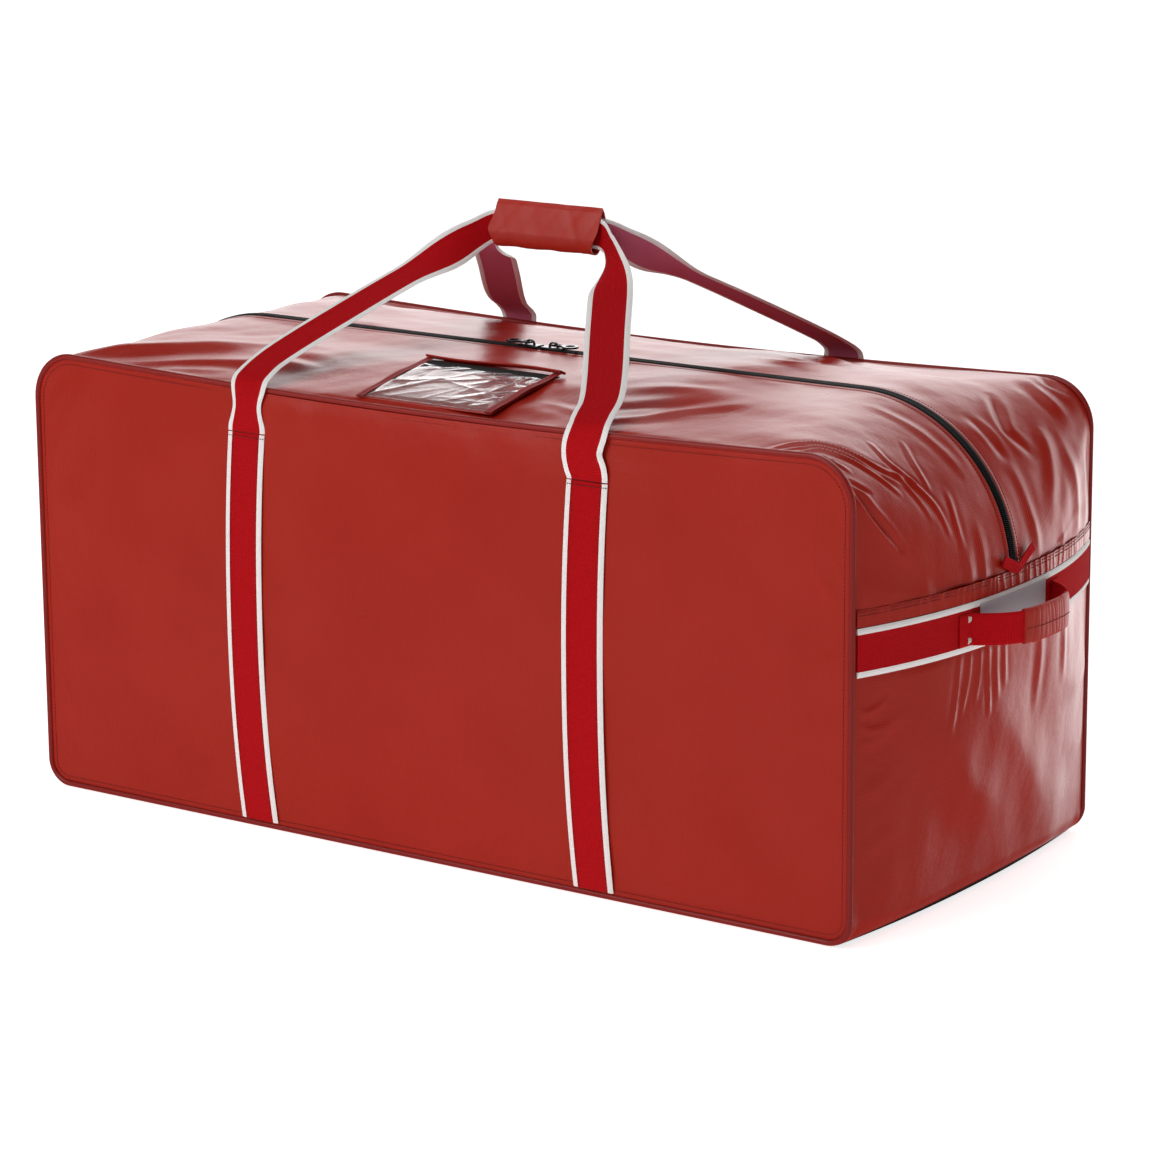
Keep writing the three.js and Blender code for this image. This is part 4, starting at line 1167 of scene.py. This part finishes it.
class BAG_OT_end_fittings(bpy.types.Operator):
    """Makes the bands, seam facings, backings and grab handles of both ends"""

    bl_idname = "bag.end_fittings"
    bl_label = "End bands and grab handles"

    def execute(self, context):
        for side, end in ENDS:
            facing, normals = strip_on_end(end, END_TOP + 0.5, END_TOP + 17, 460, 10, 1.9,
                                           puckers=1.7, seed=11 + end)
            piece = sheet_piece(f"{side}_gathered_facing", facing, 1.0,
                                finish_of("vinyl coated polyester"), normals)
            settle(piece, "bag", "coated_fabric", f"{side}_seam_facing")
            for k, level in enumerate((END_TOP + 11.6, END_TOP + 15.0)):
                line, up = strip_on_end(end, level, level + 1, 200, 2, 2.3)
                row = stitches(f"{side}_facing_stitches_{k}", line[:, 0], up[:, 0],
                               pitch=3.6, length=2.8, radius=0.35)
                settle(row, "bag", "coated_fabric")
            self.band(side, end)
            self.handle(side, end)
            self.sleeve(side, end)
        return {"FINISHED"}

    def band(self, side, end):
        """The wide webbing across the end, with white edges."""
        s = sizes()
        y = np.linspace(-SEAM_DEPTH + 0.6, SEAM_DEPTH - 0.6, 160)
        level = (BAND_LOW[2] + BAND_HIGH[2]) / 2
        centre = np.stack([end * (end_x(y, level) + 1.4), y, np.full_like(y, level)], -1)
        slope = (end_x(y, level + 20) - end_x(y, level - 20)) / 40
        across = np.stack([end * slope, 0 * y, np.ones_like(y)], -1)
        band = ribbon_piece(f"{side}_band_webbing", centre, across, s.webbing_width, 1.8,
                            finish_of("polyester webbing"), s.white_edge)
        settle(band, "bag", "webbing", f"{side}_end_band")
        low, high = node_box(f"{side}_grab_backing")
        y, z = grid_of(np.linspace(low[1], high[1], 60), np.linspace(low[2], high[2], 30))
        outer, normals = on_end(end, y, z, 3.2)
        patch = sheet_piece(f"{side}_backing_cloth", outer, 0.7, finish_of("backing cloth"), normals)
        settle(patch, "bag", "pale_fabric", f"{side}_grab_backing")

    def handle(self, side, end):
        """The narrower strap of the grab handle, in two halves, and its bartacks."""
        y = np.linspace(-98, 98, 240)
        centre = grab_line(end, y)
        across = np.broadcast_to([0.0, 0.0, 1.0], centre.shape)
        for facing, face in FACES:
            keep = y * face >= 0
            part = ribbon_piece(f"{side}_{facing}_grab_webbing", centre[keep], across[keep],
                                GRAB_WIDTH, 1.7, finish_of("plain webbing"))
            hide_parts(f"{side}_grab_{facing}_root",
                        *([f"{side}_grab_strap"] if face > 0 else []))
            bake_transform(part)
            self.bartacks(side, end, facing, face)

    def bartacks(self, side, end, facing, face):
        """Two white bartacks at each end of the handle: short dense bars of nine threads."""
        shape, faces = stitch_shape(6.0, 0.55)
        out = np.array([float(end), 0.0, 0.0])
        high, beside = grid_of(GRAB_WIDTH * np.array([-0.33, 0.33]), 0.55 * np.arange(-4, 5))
        offsets = np.stack([0 * high, beside, high], -1).reshape(-1, 3)
        at = grab_line(end, np.array([face * BARTACK_Y])) + out * 0.8 + offsets
        ahead = np.broadcast_to([0.0, 0.0, 1.0], at.shape)
        up = np.broadcast_to(out, at.shape)
        tack = copies(f"{side}_{facing}_bartacks", shape, faces, at, ahead, np.cross(up, ahead), up,
                      finish_of("white thread"))
        settle(tack, "bag", "webbing")

    def sleeve(self, side, end):
        """A vinyl sleeve gathered round the strap: a flat tube with random creases across it."""
        half = (SLEEVE_HIGH[1] - SLEEVE_LOW[1]) / 2
        y = np.linspace(-half, half, 150)
        centre = grab_line(end, y)
        high = (SLEEVE_HIGH[2] - SLEEVE_LOW[2]) / 2 - 0.6
        angle = np.linspace(0, 2 * np.pi, 48, endpoint=False)
        shape_z = np.sign(np.sin(angle)) * np.abs(np.sin(angle)) ** 0.55 * high
        shape_x = np.sign(np.cos(angle)) * np.abs(np.cos(angle)) ** 0.55 * 3.0
        rng = np.random.default_rng(5)
        crease = np.zeros((len(y), len(angle)))
        for place in np.cumsum(rng.uniform(5, 11, 14)) - half:
            lean = rng.uniform(-0.18, 0.18)
            offset = y[:, None] - place - lean * shape_z[None, :]
            crease += rng.uniform(0.6, 1.5) * np.exp(-(offset / rng.uniform(1.2, 2.2)) ** 2)
        seam = 1.6 * np.exp(-((shape_z[None, :] + 2) / 1.4) ** 2) * (np.cos(angle) > 0)
        bulge = 1 - 0.45 * crease / 1.5
        ox = shape_x[None, :] * (1 + 0.25 * bulge) + seam * 0.25
        points = np.empty((len(y), len(angle), 3))
        points[..., 0] = centre[:, None, 0] + end * ox
        points[..., 1] = centre[:, None, 1]
        points[..., 2] = centre[:, None, 2] + shape_z[None, :] * (1 + 0.02 * bulge)
        sleeve = swept_piece(f"{side}_handle_sleeve", points, finish_of("grip vinyl"))
        settle(sleeve, f"{side}_grab", "coated_fabric", f"{side}_grab_sleeve")
        line = centre + [end * 4.0, 0, -2.0]
        up = np.broadcast_to([float(end), 0.0, 0.0], line.shape)
        row = stitches(f"{side}_sleeve_stitches", line, up, pitch=3.4, length=2.6, radius=0.35)
        settle(row, f"{side}_grab", "coated_fabric")


# ---------------------------------------------------------------- carry webbing and grip

STITCH_HEIGHT = STRIP_HIGH[2] + 0.3
STRAP_X = (STRIP_LOW[0] + STRIP_HIGH[0]) / 2


# The middle line of a carry loop from its stitching to the middle of the grip: x, then how far
# inward of the front seam, then z.
LEG_POINTS = (
    (213.0, -9.4, 425.0), (213.0, -8.4, 446.0), (212.5, -6.6, 466.0), (212.0, -3.0, 478.0),
    (210.0, 6.0, 486.0), (205.0, 27.0, 498.0), (152.0, 115.0, 550.0), (105.0, 189.0, 592.0),
    (86.0, 214.0, 609.0), (66.0, 227.6, 620.6), (36.0, 227.8, 621.0), (0.0, 227.8, 621.0),
)
SWAY = 7.0
PINCH = 11.0
PINCH_Z, LEAVES_Z = 452, 425
GRIPPED_WIDTH = 32.0


def carry_line(face):
    """The middle line of a carry loop: a smooth curve through its points, swayed on its right leg."""
    right = [(x, face * (HALF_DEPTH - inward), z) for x, inward, z in LEG_POINTS]
    left = [(-x, y, z) for x, y, z in right[:-1]][::-1]
    line = smooth_curve(right + left, 620)
    z = line[:, 2]
    near_bend = np.exp(-((z - PINCH_Z) / 18) ** 2) * smooth((z - LEAVES_Z) / 16)
    line[:, 0] -= SWAY * near_bend * (line[:, 0] > 0)
    return line


class BAG_OT_carry(bpy.types.Operator):
    """Makes the sewn webbing strips, the two carry loops and the grip"""

    bl_idname = "bag.carry"
    bl_label = "Carry loops"

    def execute(self, context):
        for facing, face in FACES:
            for side, end in ENDS:
                self.strip(facing, face, side, end)
            self.loop(facing, face)
        self.grip()
        return {"FINISHED"}

    def strip(self, facing, face, side, end):
        """Webbing sewn flat up the panel, with a row of stitches near each edge."""
        s = sizes()
        z = np.linspace(STRIP_LOW[2], STRIP_HIGH[2], 160)
        x = np.full_like(z, end * STRAP_X)
        y = face * (HALF_DEPTH + panel_out(x, z) + 1.5)
        centre = np.stack([x, y, z], -1)
        tilt = (panel_out(x + 20, z) - panel_out(x - 20, z)) / 40
        across = np.stack([np.ones_like(z), face * tilt, 0 * z], -1)
        strip = ribbon_piece(f"{facing}_{side}_sewn_webbing", centre, across, s.webbing_width, 1.8,
                             finish_of("polyester webbing"), s.white_edge)
        settle(strip, "bag", "webbing", f"{facing}_{side}_webbing")
        up = np.broadcast_to([0.0, float(face), 0.0], centre.shape)
        rows = []
        for k, offset in enumerate((-1, 1)):
            line = centre + across * offset * (s.webbing_width / 2 - s.white_edge - 1.6) + up * 0.95
            rows.append(stitches(f"row_{k}", line, up, pitch=4.0, length=3.0, radius=0.32))
        row = join(f"{facing}_{side}_webbing_stitches", rows)
        settle(row, "bag", "webbing")
        bar_z = STITCH_HEIGHT - 4.0
        reach = s.webbing_width / 2 - 1.0
        bar_x = np.linspace(-reach, reach, 60) + end * STRAP_X
        bar_y = face * (HALF_DEPTH + panel_out(bar_x, bar_z) + 2.5)
        bar = np.stack([bar_x, bar_y, np.full_like(bar_x, bar_z)], -1)
        bar_up = np.broadcast_to([0.0, float(face), 0.0], bar.shape)
        tack = stitches(f"{facing}_{side}_cross_stitches", bar, bar_up,
                        pitch=2.6, length=2.4, radius=0.5)
        settle(tack, "bag", "webbing")

    def loop(self, facing, face):
        """A free loop: it leaves its stitching, leans over the seam and twists upright in the grip."""
        s = sizes()
        centre = carry_line(face)
        x = centre[:, 0]
        upright = smooth((130 - np.abs(x)) / 60)
        sense = np.where(x < 0, -1.0, 1.0)
        across = np.stack([sense * (1 - upright), 0 * x, upright], -1)
        narrow = smooth((120 - np.abs(x)) / 45)
        width = s.webbing_width + (GRIPPED_WIDTH - s.webbing_width) * narrow
        z = centre[:, 2]
        pinched = np.exp(-((z - PINCH_Z) / 16) ** 2) * smooth((z - LEAVES_Z) / 14)
        width = width - PINCH * pinched * (x < 0)
        # inner=-face picks the side that gets the webbing's painted sheen.
        loop = ribbon_piece(f"{facing}_loop_webbing", centre, across, width, 1.8,
                            finish_of("polyester webbing"), s.white_edge, inner=-face)
        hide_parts(f"{facing}_carry_loop", f"{facing}_left_tongue", f"{facing}_right_tongue")
        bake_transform(loop)

    def grip(self):
        """A vinyl sheet closed round both loops, with its two edges sewn to a ridge on top."""
        half = (GRIP_HIGH[0] - GRIP_LOW[0]) / 2
        x = np.linspace(-half, half, 140)
        angle = np.linspace(np.pi / 2, np.pi / 2 + 2 * np.pi, 72, endpoint=False)
        centre_z = 621.0
        tall, shoulder = 22.5, -6.0
        z = tall * np.sin(angle)
        slope = 3.6 + 8.6 * (tall - z) / (tall - shoulder)
        under = 12.2 * np.sqrt(np.clip(1 - ((shoulder - z) / (tall + shoulder)) ** 2, 0, 1))
        y = np.sign(np.cos(angle)) * np.where(z > shoulder, slope, under)
        y = y * smooth(np.abs(np.cos(angle)) / 0.22)
        turned = angle - np.pi / 2
        top = np.exp(-(np.minimum(turned, 2 * np.pi - turned) / 0.12) ** 2)
        z = z + 4.6 * top
        share = x[:, None] / half
        left_out = -6.0 * np.exp(-((z + 2) / 11) ** 2)[None, :] * smooth((-share - 0.3) / 0.7)
        right_in = -9.0 * smooth((6 - z) / 26)[None, :] * smooth((share - 0.3) / 0.7)
        x2 = x[:, None] + left_out + right_in
        points = np.stack(np.broadcast_arrays(x2, y, centre_z + z), -1)
        rng = np.random.default_rng(12)
        shift = np.zeros(x2.shape)
        for _ in range(9):
            place = rng.uniform(-half, half)
            lean = rng.uniform(-0.9, 0.9)
            width = rng.uniform(4, 8)
            offset = x2 - place - lean * (points[..., 2] - centre_z)
            shift -= rng.uniform(0.15, 0.5) * np.exp(-(offset / width) ** 2)
        shift += 0.45 * soft_noise(points, 46, 77)
        raw = grid_normals(points, closed_v=True)
        inwards = np.sum(raw * (points - points.mean(1, keepdims=True))) < 0
        normals = -raw if inwards else raw
        points = points + normals * shift[..., None] * (1 - top[None, :, None] * 0.7)
        both = np.stack([points, points - normals * 1.5])
        rows, columns = points.shape[:2]
        count = rows * columns
        outside = grid_faces(rows, columns, closed_v=True)
        edge = np.arange(columns)
        nxt = np.roll(edge, -1)
        rim = np.stack([edge, nxt, nxt + count, edge + count], -1)
        faces = np.concatenate([outside, outside[:, ::-1] + count, rim,
                                rim[:, ::-1] + (rows - 1) * columns])
        uv = np.stack(grid_of(x, np.linspace(0, 110, columns)), -1).reshape(-1, 2)
        wrap = finish_mesh("grip_sleeve", both.reshape(-1, 3), faces[:, ::-1] if inwards else faces,
                           finish_of("grip vinyl"), uv=np.tile(uv, (2, 1)))
        settle(wrap, "front_loop", "coated_fabric", "grip_wrap")
        rows = []
        for k, side in enumerate((-1, 1)):
            inside = x[2:-2]
            line = np.stack([inside, 0 * inside + side * 2.0, 0 * inside + 643.4], -1)
            up = np.broadcast_to([0.0, float(side), 0.25], line.shape)
            rows.append(stitches(f"row_{k}", line, up, pitch=3.6, length=2.8, radius=0.35))
        settle(join("grip_stitches", rows), "front_loop", "coated_fabric")


# ---------------------------------------------------------------- sliders

def plate_piece(name, outline, holes, low, high, material, bevel=0.35):
    """A flat plate from an outline and holes in X and Y, between two heights, with rounded edges."""
    curve = bpy.data.curves.new(name, "CURVE")
    curve.dimensions = "2D"
    curve.fill_mode = "BOTH"
    curve.extrude = max(0.01, (high - low) / 2 - bevel)
    curve.bevel_depth = bevel
    curve.bevel_resolution = 2
    curve.offset = -bevel
    for loop in [outline] + list(holes):
        spline = curve.splines.new("POLY")
        spline.points.add(len(loop) - 1)
        for k, (px, py) in enumerate(loop):
            spline.points[k].co = (px, py, 0, 1)
        spline.use_cyclic_u = True
    temp = bpy.data.objects.new(name + "_curve", curve)
    bpy.context.collection.objects.link(temp)
    bpy.context.view_layer.update()
    mesh = bpy.data.meshes.new_from_object(temp.evaluated_get(bpy.context.evaluated_depsgraph_get()))
    bpy.data.objects.remove(temp)
    co = vertex_places(mesh) + [0, 0, (low + high) / 2]
    faces = [tuple(p.vertices) for p in mesh.polygons]
    bpy.data.meshes.remove(mesh)
    return finish_mesh(name, co, faces, material, 50, uv=co[:, :2])


RING_X = 21


def ring_points(radius, angles):
    """Points of the finger ring, a circle in X and Y about its middle, at the given angles."""
    return [(RING_X + radius * np.cos(a), radius * np.sin(a)) for a in angles]


def set_on_zip(piece, turned, middle):
    """Turns a slider's piece the other way round if asked, and moves it to its place on the zip."""
    places = vertex_places(piece.data)
    if turned:
        places[:, :2] *= -1
    places[:, 0] += middle * MM
    piece.data.vertices.foreach_set("co", places.ravel())
    piece.data.update()


class BAG_OT_sliders(bpy.types.Operator):
    """Makes the two zip sliders and their pulls"""

    bl_idname = "bag.sliders"
    bl_label = "Zip sliders"

    def execute(self, context):
        metal = finish_of("black lacquered zinc")
        for side, end in ENDS:
            low, high = node_box(f"{side}_slider")
            middle = (low[0] + high[0]) / 2
            self.slider(side, end, middle, low, metal)
            self.pull(side, end, middle, metal)
        return {"FINISHED"}

    def slider(self, side, end, middle, low, metal):
        """A flat Y-shaped top plate with rounded edges, and an arched bail over it."""
        outline = [(-13, -3.6), (-9, -4.2), (2, -6.2), (11, -7.0), (13, -6.2), (12.2, -2.2), (13, 0),
                   (12.2, 2.2), (13, 6.2), (11, 7.0), (2, 6.2), (-9, 4.2), (-13, 3.6), (-13.6, 0)]
        plate = plate_piece("plate", outline, [], low[2] - 0.2, low[2] + 2.6, metal, 0.7)
        arch = np.linspace(0, np.pi, 24)
        height = low[2] + 1.6 + 5.6 * np.sin(arch) ** 0.8
        centre = np.stack([-5.2 * np.cos(arch), 0 * arch, height], -1)
        across = np.broadcast_to([0.0, 1.0, 0.0], centre.shape)
        bail = ribbon_piece("bail", centre, across, 3.4, 1.9, metal)
        piece = join(f"{side}_slider_body", [plate, bail])
        set_on_zip(piece, end > 0, middle)
        settle(piece, f"{side}_slider", "slider_metal", f"{side}_slider")

    def pull(self, side, end, middle, metal):
        """A flat pull: a crossbar in the bail, two arms and a round finger ring."""
        low, high = node_box(f"{side}_slider_pull")
        z = (low[2] + high[2]) / 2
        ring = ring_points(8.8, np.linspace(-0.82 * np.pi, 0.82 * np.pi, 30))
        outline = [(-0.9, -3.6), (12, -3.2)] + ring + [(12, 3.2), (-0.9, 3.6)]
        window = [(0.9, -2.2), (0.9, 2.2), (9.5, 2.2), (9.5, -2.2)]
        hole = ring_points(5.0, np.linspace(0, 2 * np.pi, 28, endpoint=False)[::-1])
        plate = plate_piece(f"{side}_pull_tab", outline, [window, hole], z - 1.0, z + 1.0, metal)
        set_on_zip(plate, end < 0, middle)
        settle(plate, f"{side}_pull", "slider_metal", f"{side}_slider_pull")


# ---------------------------------------------------------------- card pocket

class BAG_OT_pocket(bpy.types.Operator):
    """Makes the clear card pocket on the front of the top"""

    bl_idname = "bag.pocket"
    bl_label = "Card pocket"

    def surface(self, x0, x1, y0, y1, rows, columns, lift):
        """A patch of the top between two lengths and two depths, laid a lift above it."""
        x, y = grid_of(np.linspace(x0, x1, rows), np.linspace(y0, y1, columns))
        base = np.stack([x, y, top_z(x, y)], -1)
        normals = outward_normals(base)
        return base + normals * lift, normals

    def execute(self, context):
        x0, x1 = POCKET_LOW[0], POCKET_HIGH[0]
        y0, y1 = POCKET_LOW[1], POCKET_HIGH[1]
        # The black hook-and-loop tape is drawn 22 mm wide: part of it is the real tape, and the rest is a
        # painted shadow of the pocket's mouth under the raised lip.
        strip = 22.0
        backing, normals = self.surface(x0, x1, y0, y1, 90, 60, 2.2)
        piece = sheet_piece("pocket_backing_cloth", backing, 0.9,
                            finish_of("vinyl coated polyester"), normals)
        settle(piece, "front_flap", "coated_fabric", "pocket_backing")
        self.window(x0 + 7, x1 - 7, y0 + 3, y1 - strip + 3)
        self.lip(x0, x1, y1)
        # Black tape that holds both the hook-and-loop strip and the painted shadow of the pocket's mouth.
        tape, normals = self.surface(x0 + 8, x1 - 8, y1 - strip, y1 - 1, 120, 24, 3.2)
        fuzz = np.random.default_rng(4).normal(0, 0.14, tape.shape[:2])
        tape = tape + normals * fuzz[..., None]
        piece = sheet_piece("pocket_hook_tape_and_mouth_shadow", tape, 1.0, finish_of("hook and loop"), normals)
        settle(piece, "front_flap", "hook_strip", "pocket_hook_strip")
        for name, x in (("left", x0 + 4), ("right", x1 - 4)):
            y = np.linspace(y0 - 2, y1 + 1, 90)
            centre = np.stack([np.full_like(y, x), y, top_z(x, y) + 3.9], -1)
            centre[:, 2] += 0.5 * np.sin(y / 9.0)
            across = np.broadcast_to([1.0, 0.0, 0.0], centre.shape)
            tape = ribbon_piece(f"pocket_{name}_tape", centre, across, 9.0, 1.3,
                                finish_of("binding tape"))
            settle(tape, "front_flap", "binding", f"pocket_{name}_binding")
            up = np.broadcast_to([0.0, 0.0, 1.0], centre.shape)
            row = stitches(f"pocket_{name}_stitches", centre + up * 0.7, up,
                           pitch=3.4, length=2.6, radius=0.32)
            settle(row, "front_flap", "binding")
        return {"FINISHED"}

    def lip(self, x0, x1, y1):
        """A folded lip of coated cloth behind the hook-and-loop strip, raised and a little wavy."""
        x = np.linspace(x0 - 1, x1 + 1, 120)
        y = y1 + 4.0 + 1.2 * np.sin(x / 23.0)
        centre = np.stack([x, y, top_z(x, y) + 5.2 + 0.9 * np.sin(x / 31.0)], -1)
        across = np.broadcast_to([0.0, 1.0, -0.45], centre.shape)
        lip = ribbon_piece("pocket_lip", centre, across, 11.0, 2.4,
                           finish_of("vinyl coated polyester"))
        settle(lip, "front_flap", "coated_fabric")

    def window(self, x0, x1, y0, y1):
        """Crinkled clear vinyl: a sum of seeded sharp creases that run mostly towards the front left."""
        rng = np.random.default_rng(23)
        base, normals = self.surface(x0, x1, y0, y1, 240, 150, 3.6)
        x, y = base[..., 0], base[..., 1]
        shift = np.zeros(x.shape)
        for _ in range(38):
            cx, cy = rng.uniform(x0, x1), rng.uniform(y0, y1)
            angle = rng.normal(0.55, 0.45)
            run = (x - cx) * np.cos(angle) + (y - cy) * np.sin(angle)
            off = -(x - cx) * np.sin(angle) + (y - cy) * np.cos(angle)
            length, width = rng.uniform(14, 60), rng.uniform(2.0, 7.0)
            shift += rng.uniform(-1.2, 1.9) * np.exp(-(run / length) ** 2) * np.exp(-np.abs(off) / width)
        edge = np.minimum(np.minimum(x - x0, x1 - x), y - y0)
        shift = np.clip(shift + 0.6, -0.9, 3.6) * smooth(edge / 7)
        outer = base + normals * shift[..., None]
        piece = sheet_piece("pocket_clear_window", outer, 0.35, finish_of("clear vinyl"), normals)
        settle(piece, "front_flap", "clear_window", "pocket_window")


# ---------------------------------------------------------------- stage

class BAG_OT_stage(bpy.types.Operator):
    """Makes the floor, the soft lights and the camera"""

    bl_idname = "bag.stage"
    bl_label = "Studio"

    def execute(self, context):
        settings = context.scene.bag_studio
        reach = 60000
        floor = finish_mesh("studio_floor", [(-reach, -reach, 0), (reach, -reach, 0), (reach, reach, 0),
                                             (-reach, reach, 0)], [(0, 1, 2, 3)],
                            self.paper(settings.floor))
        floor.visible_glossy = False
        self.air(context.scene)
        self.softbox("key_softbox", (-1.6, -4.2, 3.0), 3.2, settings.key_power, (0, 0, 0.2))
        self.softbox("top_softbox", (0.3, 0.6, 4.2), 4.0, settings.top_power, (0.0, 0, 0.3))
        self.camera(settings.focal_length)
        return {"FINISHED"}

    def paper(self, hex_colour):
        """Seamless white paper, lit evenly from below as well, so that shadows on it stay pale."""
        material = grained("studio paper", hex_colour, 0.9, scale=30.0, strength=0.02)
        shader = material.node_tree.nodes["Principled BSDF"]
        shader.inputs["Emission Color"].default_value = (1, 1, 1, 1)
        shader.inputs["Emission Strength"].default_value = 0.78
        shader.inputs["Specular IOR Level"].default_value = 0.1
        return material

    def air(self, scene):
        """Pale walls round the bag: bright behind it, taller on its left, and dim in front and above."""
        world = bpy.data.worlds.new("studio_air")
        world.use_nodes = True
        tree = world.node_tree
        look = add(tree, "ShaderNodeTexCoord")
        split = add(tree, "ShaderNodeSeparateXYZ", Vector=look.outputs["Generated"])
        lift = add(tree, "ShaderNodeMapRange", {"interpolation_type": "SMOOTHSTEP", "From Min": -0.35,
                                                "From Max": 0.25, "To Max": 0.35}, Value=split.outputs[0])
        height = add(tree, "ShaderNodeMath", {"operation": "ADD"}, _0=split.outputs[2], _1=lift.outputs[0])
        rise = add(tree, "ShaderNodeMapRange", {"interpolation_type": "SMOOTHSTEP", "From Min": -0.52,
                                                "From Max": -0.20}, Value=split.outputs[2])
        fall = add(tree, "ShaderNodeMapRange", {"interpolation_type": "SMOOTHSTEP", "From Min": 0.42,
                                                "From Max": 0.80, "To Min": 1.0, "To Max": 0.08},
                   Value=height.outputs[0])
        aside = add(tree, "ShaderNodeMath", {"operation": "MULTIPLY_ADD", 1: -0.25},
                    _0=split.outputs[0], _2=split.outputs[1])
        back = add(tree, "ShaderNodeMapRange", {"interpolation_type": "SMOOTHSTEP", "From Min": 0.62,
                                                "From Max": 0.94, "To Min": 0.025, "To Max": 1.0},
                   Value=aside.outputs[0])
        level_with = add(tree, "ShaderNodeMath", {"operation": "SUBTRACT", 1: 0.05}, _0=split.outputs[2])
        away = add(tree, "ShaderNodeMath", {"operation": "ABSOLUTE"}, _0=level_with.outputs[0])
        skyline = add(tree, "ShaderNodeMapRange", {"interpolation_type": "SMOOTHSTEP", "From Max": 0.16,
                                                   "To Min": 0.55, "To Max": 1.0}, Value=away.outputs[0])
        wall = add(tree, "ShaderNodeMath", {"operation": "MULTIPLY"}, _0=rise.outputs[0], _1=fall.outputs[0])
        lit = add(tree, "ShaderNodeMath", {"operation": "MULTIPLY"}, _0=wall.outputs[0], _1=back.outputs[0])
        dimmed = add(tree, "ShaderNodeMath", {"operation": "MULTIPLY"}, _0=lit.outputs[0],
                     _1=skyline.outputs[0])
        level = add(tree, "ShaderNodeMapRange", {"To Min": 0.07, "To Max": 2.8}, Value=dimmed.outputs[0])
        tree.links.new(level.outputs[0], tree.nodes["Background"].inputs["Strength"])
        tree.nodes["Background"].inputs["Color"].default_value = (1, 1, 1, 1)
        scene.world = world
        scene.view_settings.view_transform = "Standard"

    def softbox(self, name, place, size, power, aim):
        """A square area light at a place, turned to its aim."""
        light = bpy.data.lights.new(name, "AREA")
        light.shape = "SQUARE"
        light.size = size
        light.energy = power
        lamp = bpy.data.objects.new(name, light)
        bpy.context.collection.objects.link(lamp)
        lamp.location = place
        lamp.rotation_euler = (Vector(aim) - Vector(place)).to_track_quat("-Z", "Y").to_euler()

    def camera(self, focal_length):
        """A long lens from the front right, a little above the bag, rolled by under half a degree."""
        azimuth, elevation, roll = np.radians([35.28, 13.57, -0.41])
        distance, target = 4.346, Vector((0.0278, 0.0, 0.2579))
        back = Vector((np.sin(azimuth) * np.cos(elevation), -np.cos(azimuth) * np.cos(elevation),
                       np.sin(elevation)))
        right = (-back).cross(Vector((0, 0, 1))).normalized()
        up = right.cross(-back)
        turned_right = right * np.cos(roll) + up * np.sin(roll)
        turned_up = up * np.cos(roll) - right * np.sin(roll)
        camera = bpy.data.cameras.new("studio_camera")
        camera.lens = focal_length
        camera.sensor_width = 36
        camera.clip_end = 60
        eye = bpy.data.objects.new("studio_camera", camera)
        bpy.context.collection.objects.link(eye)
        turn = Matrix((turned_right, turned_up, back)).transposed().to_4x4()
        eye.matrix_world = Matrix.Translation(target + back * distance) @ turn
        bpy.context.scene.camera = eye


class BAG_PT_panel(bpy.types.Panel):
    """Lists the makers of the bag's pieces and their settings"""

    bl_idname = "BAG_PT_panel"
    bl_label = "Hockey Equipment Bag"
    bl_space_type = "VIEW_3D"
    bl_region_type = "UI"
    bl_category = "Bag"

    def draw(self, context):
        layout = self.layout
        for group in (context.scene.bag_sizes, context.scene.bag_colours, context.scene.bag_studio):
            box = layout.box()
            for key in group.__annotations__:
                box.prop(group, key)
        for maker in MAKERS:
            layout.operator(maker.bl_idname)


MAKERS = (BAG_OT_panels, BAG_OT_top, BAG_OT_ends, BAG_OT_piping, BAG_OT_zip, BAG_OT_end_fittings,
          BAG_OT_carry, BAG_OT_sliders, BAG_OT_pocket, BAG_OT_stage)
GROUPS = (("bag_sizes", BagSizes), ("bag_colours", BagColours), ("bag_studio", StudioSettings))


def register():
    for name, group in GROUPS:
        bpy.utils.register_class(group)
        setattr(bpy.types.Scene, name, bpy.props.PointerProperty(type=group))
    for maker in MAKERS:
        bpy.utils.register_class(maker)
    bpy.utils.register_class(BAG_PT_panel)


def unregister():
    bpy.utils.unregister_class(BAG_PT_panel)
    for maker in reversed(MAKERS):
        bpy.utils.unregister_class(maker)
    for name, group in reversed(GROUPS):
        delattr(bpy.types.Scene, name)
        bpy.utils.unregister_class(group)


def main():
    register()
    for maker in MAKERS:
        getattr(bpy.ops.bag, maker.bl_idname.split(".")[1])()


if __name__ == "__main__":
    main()
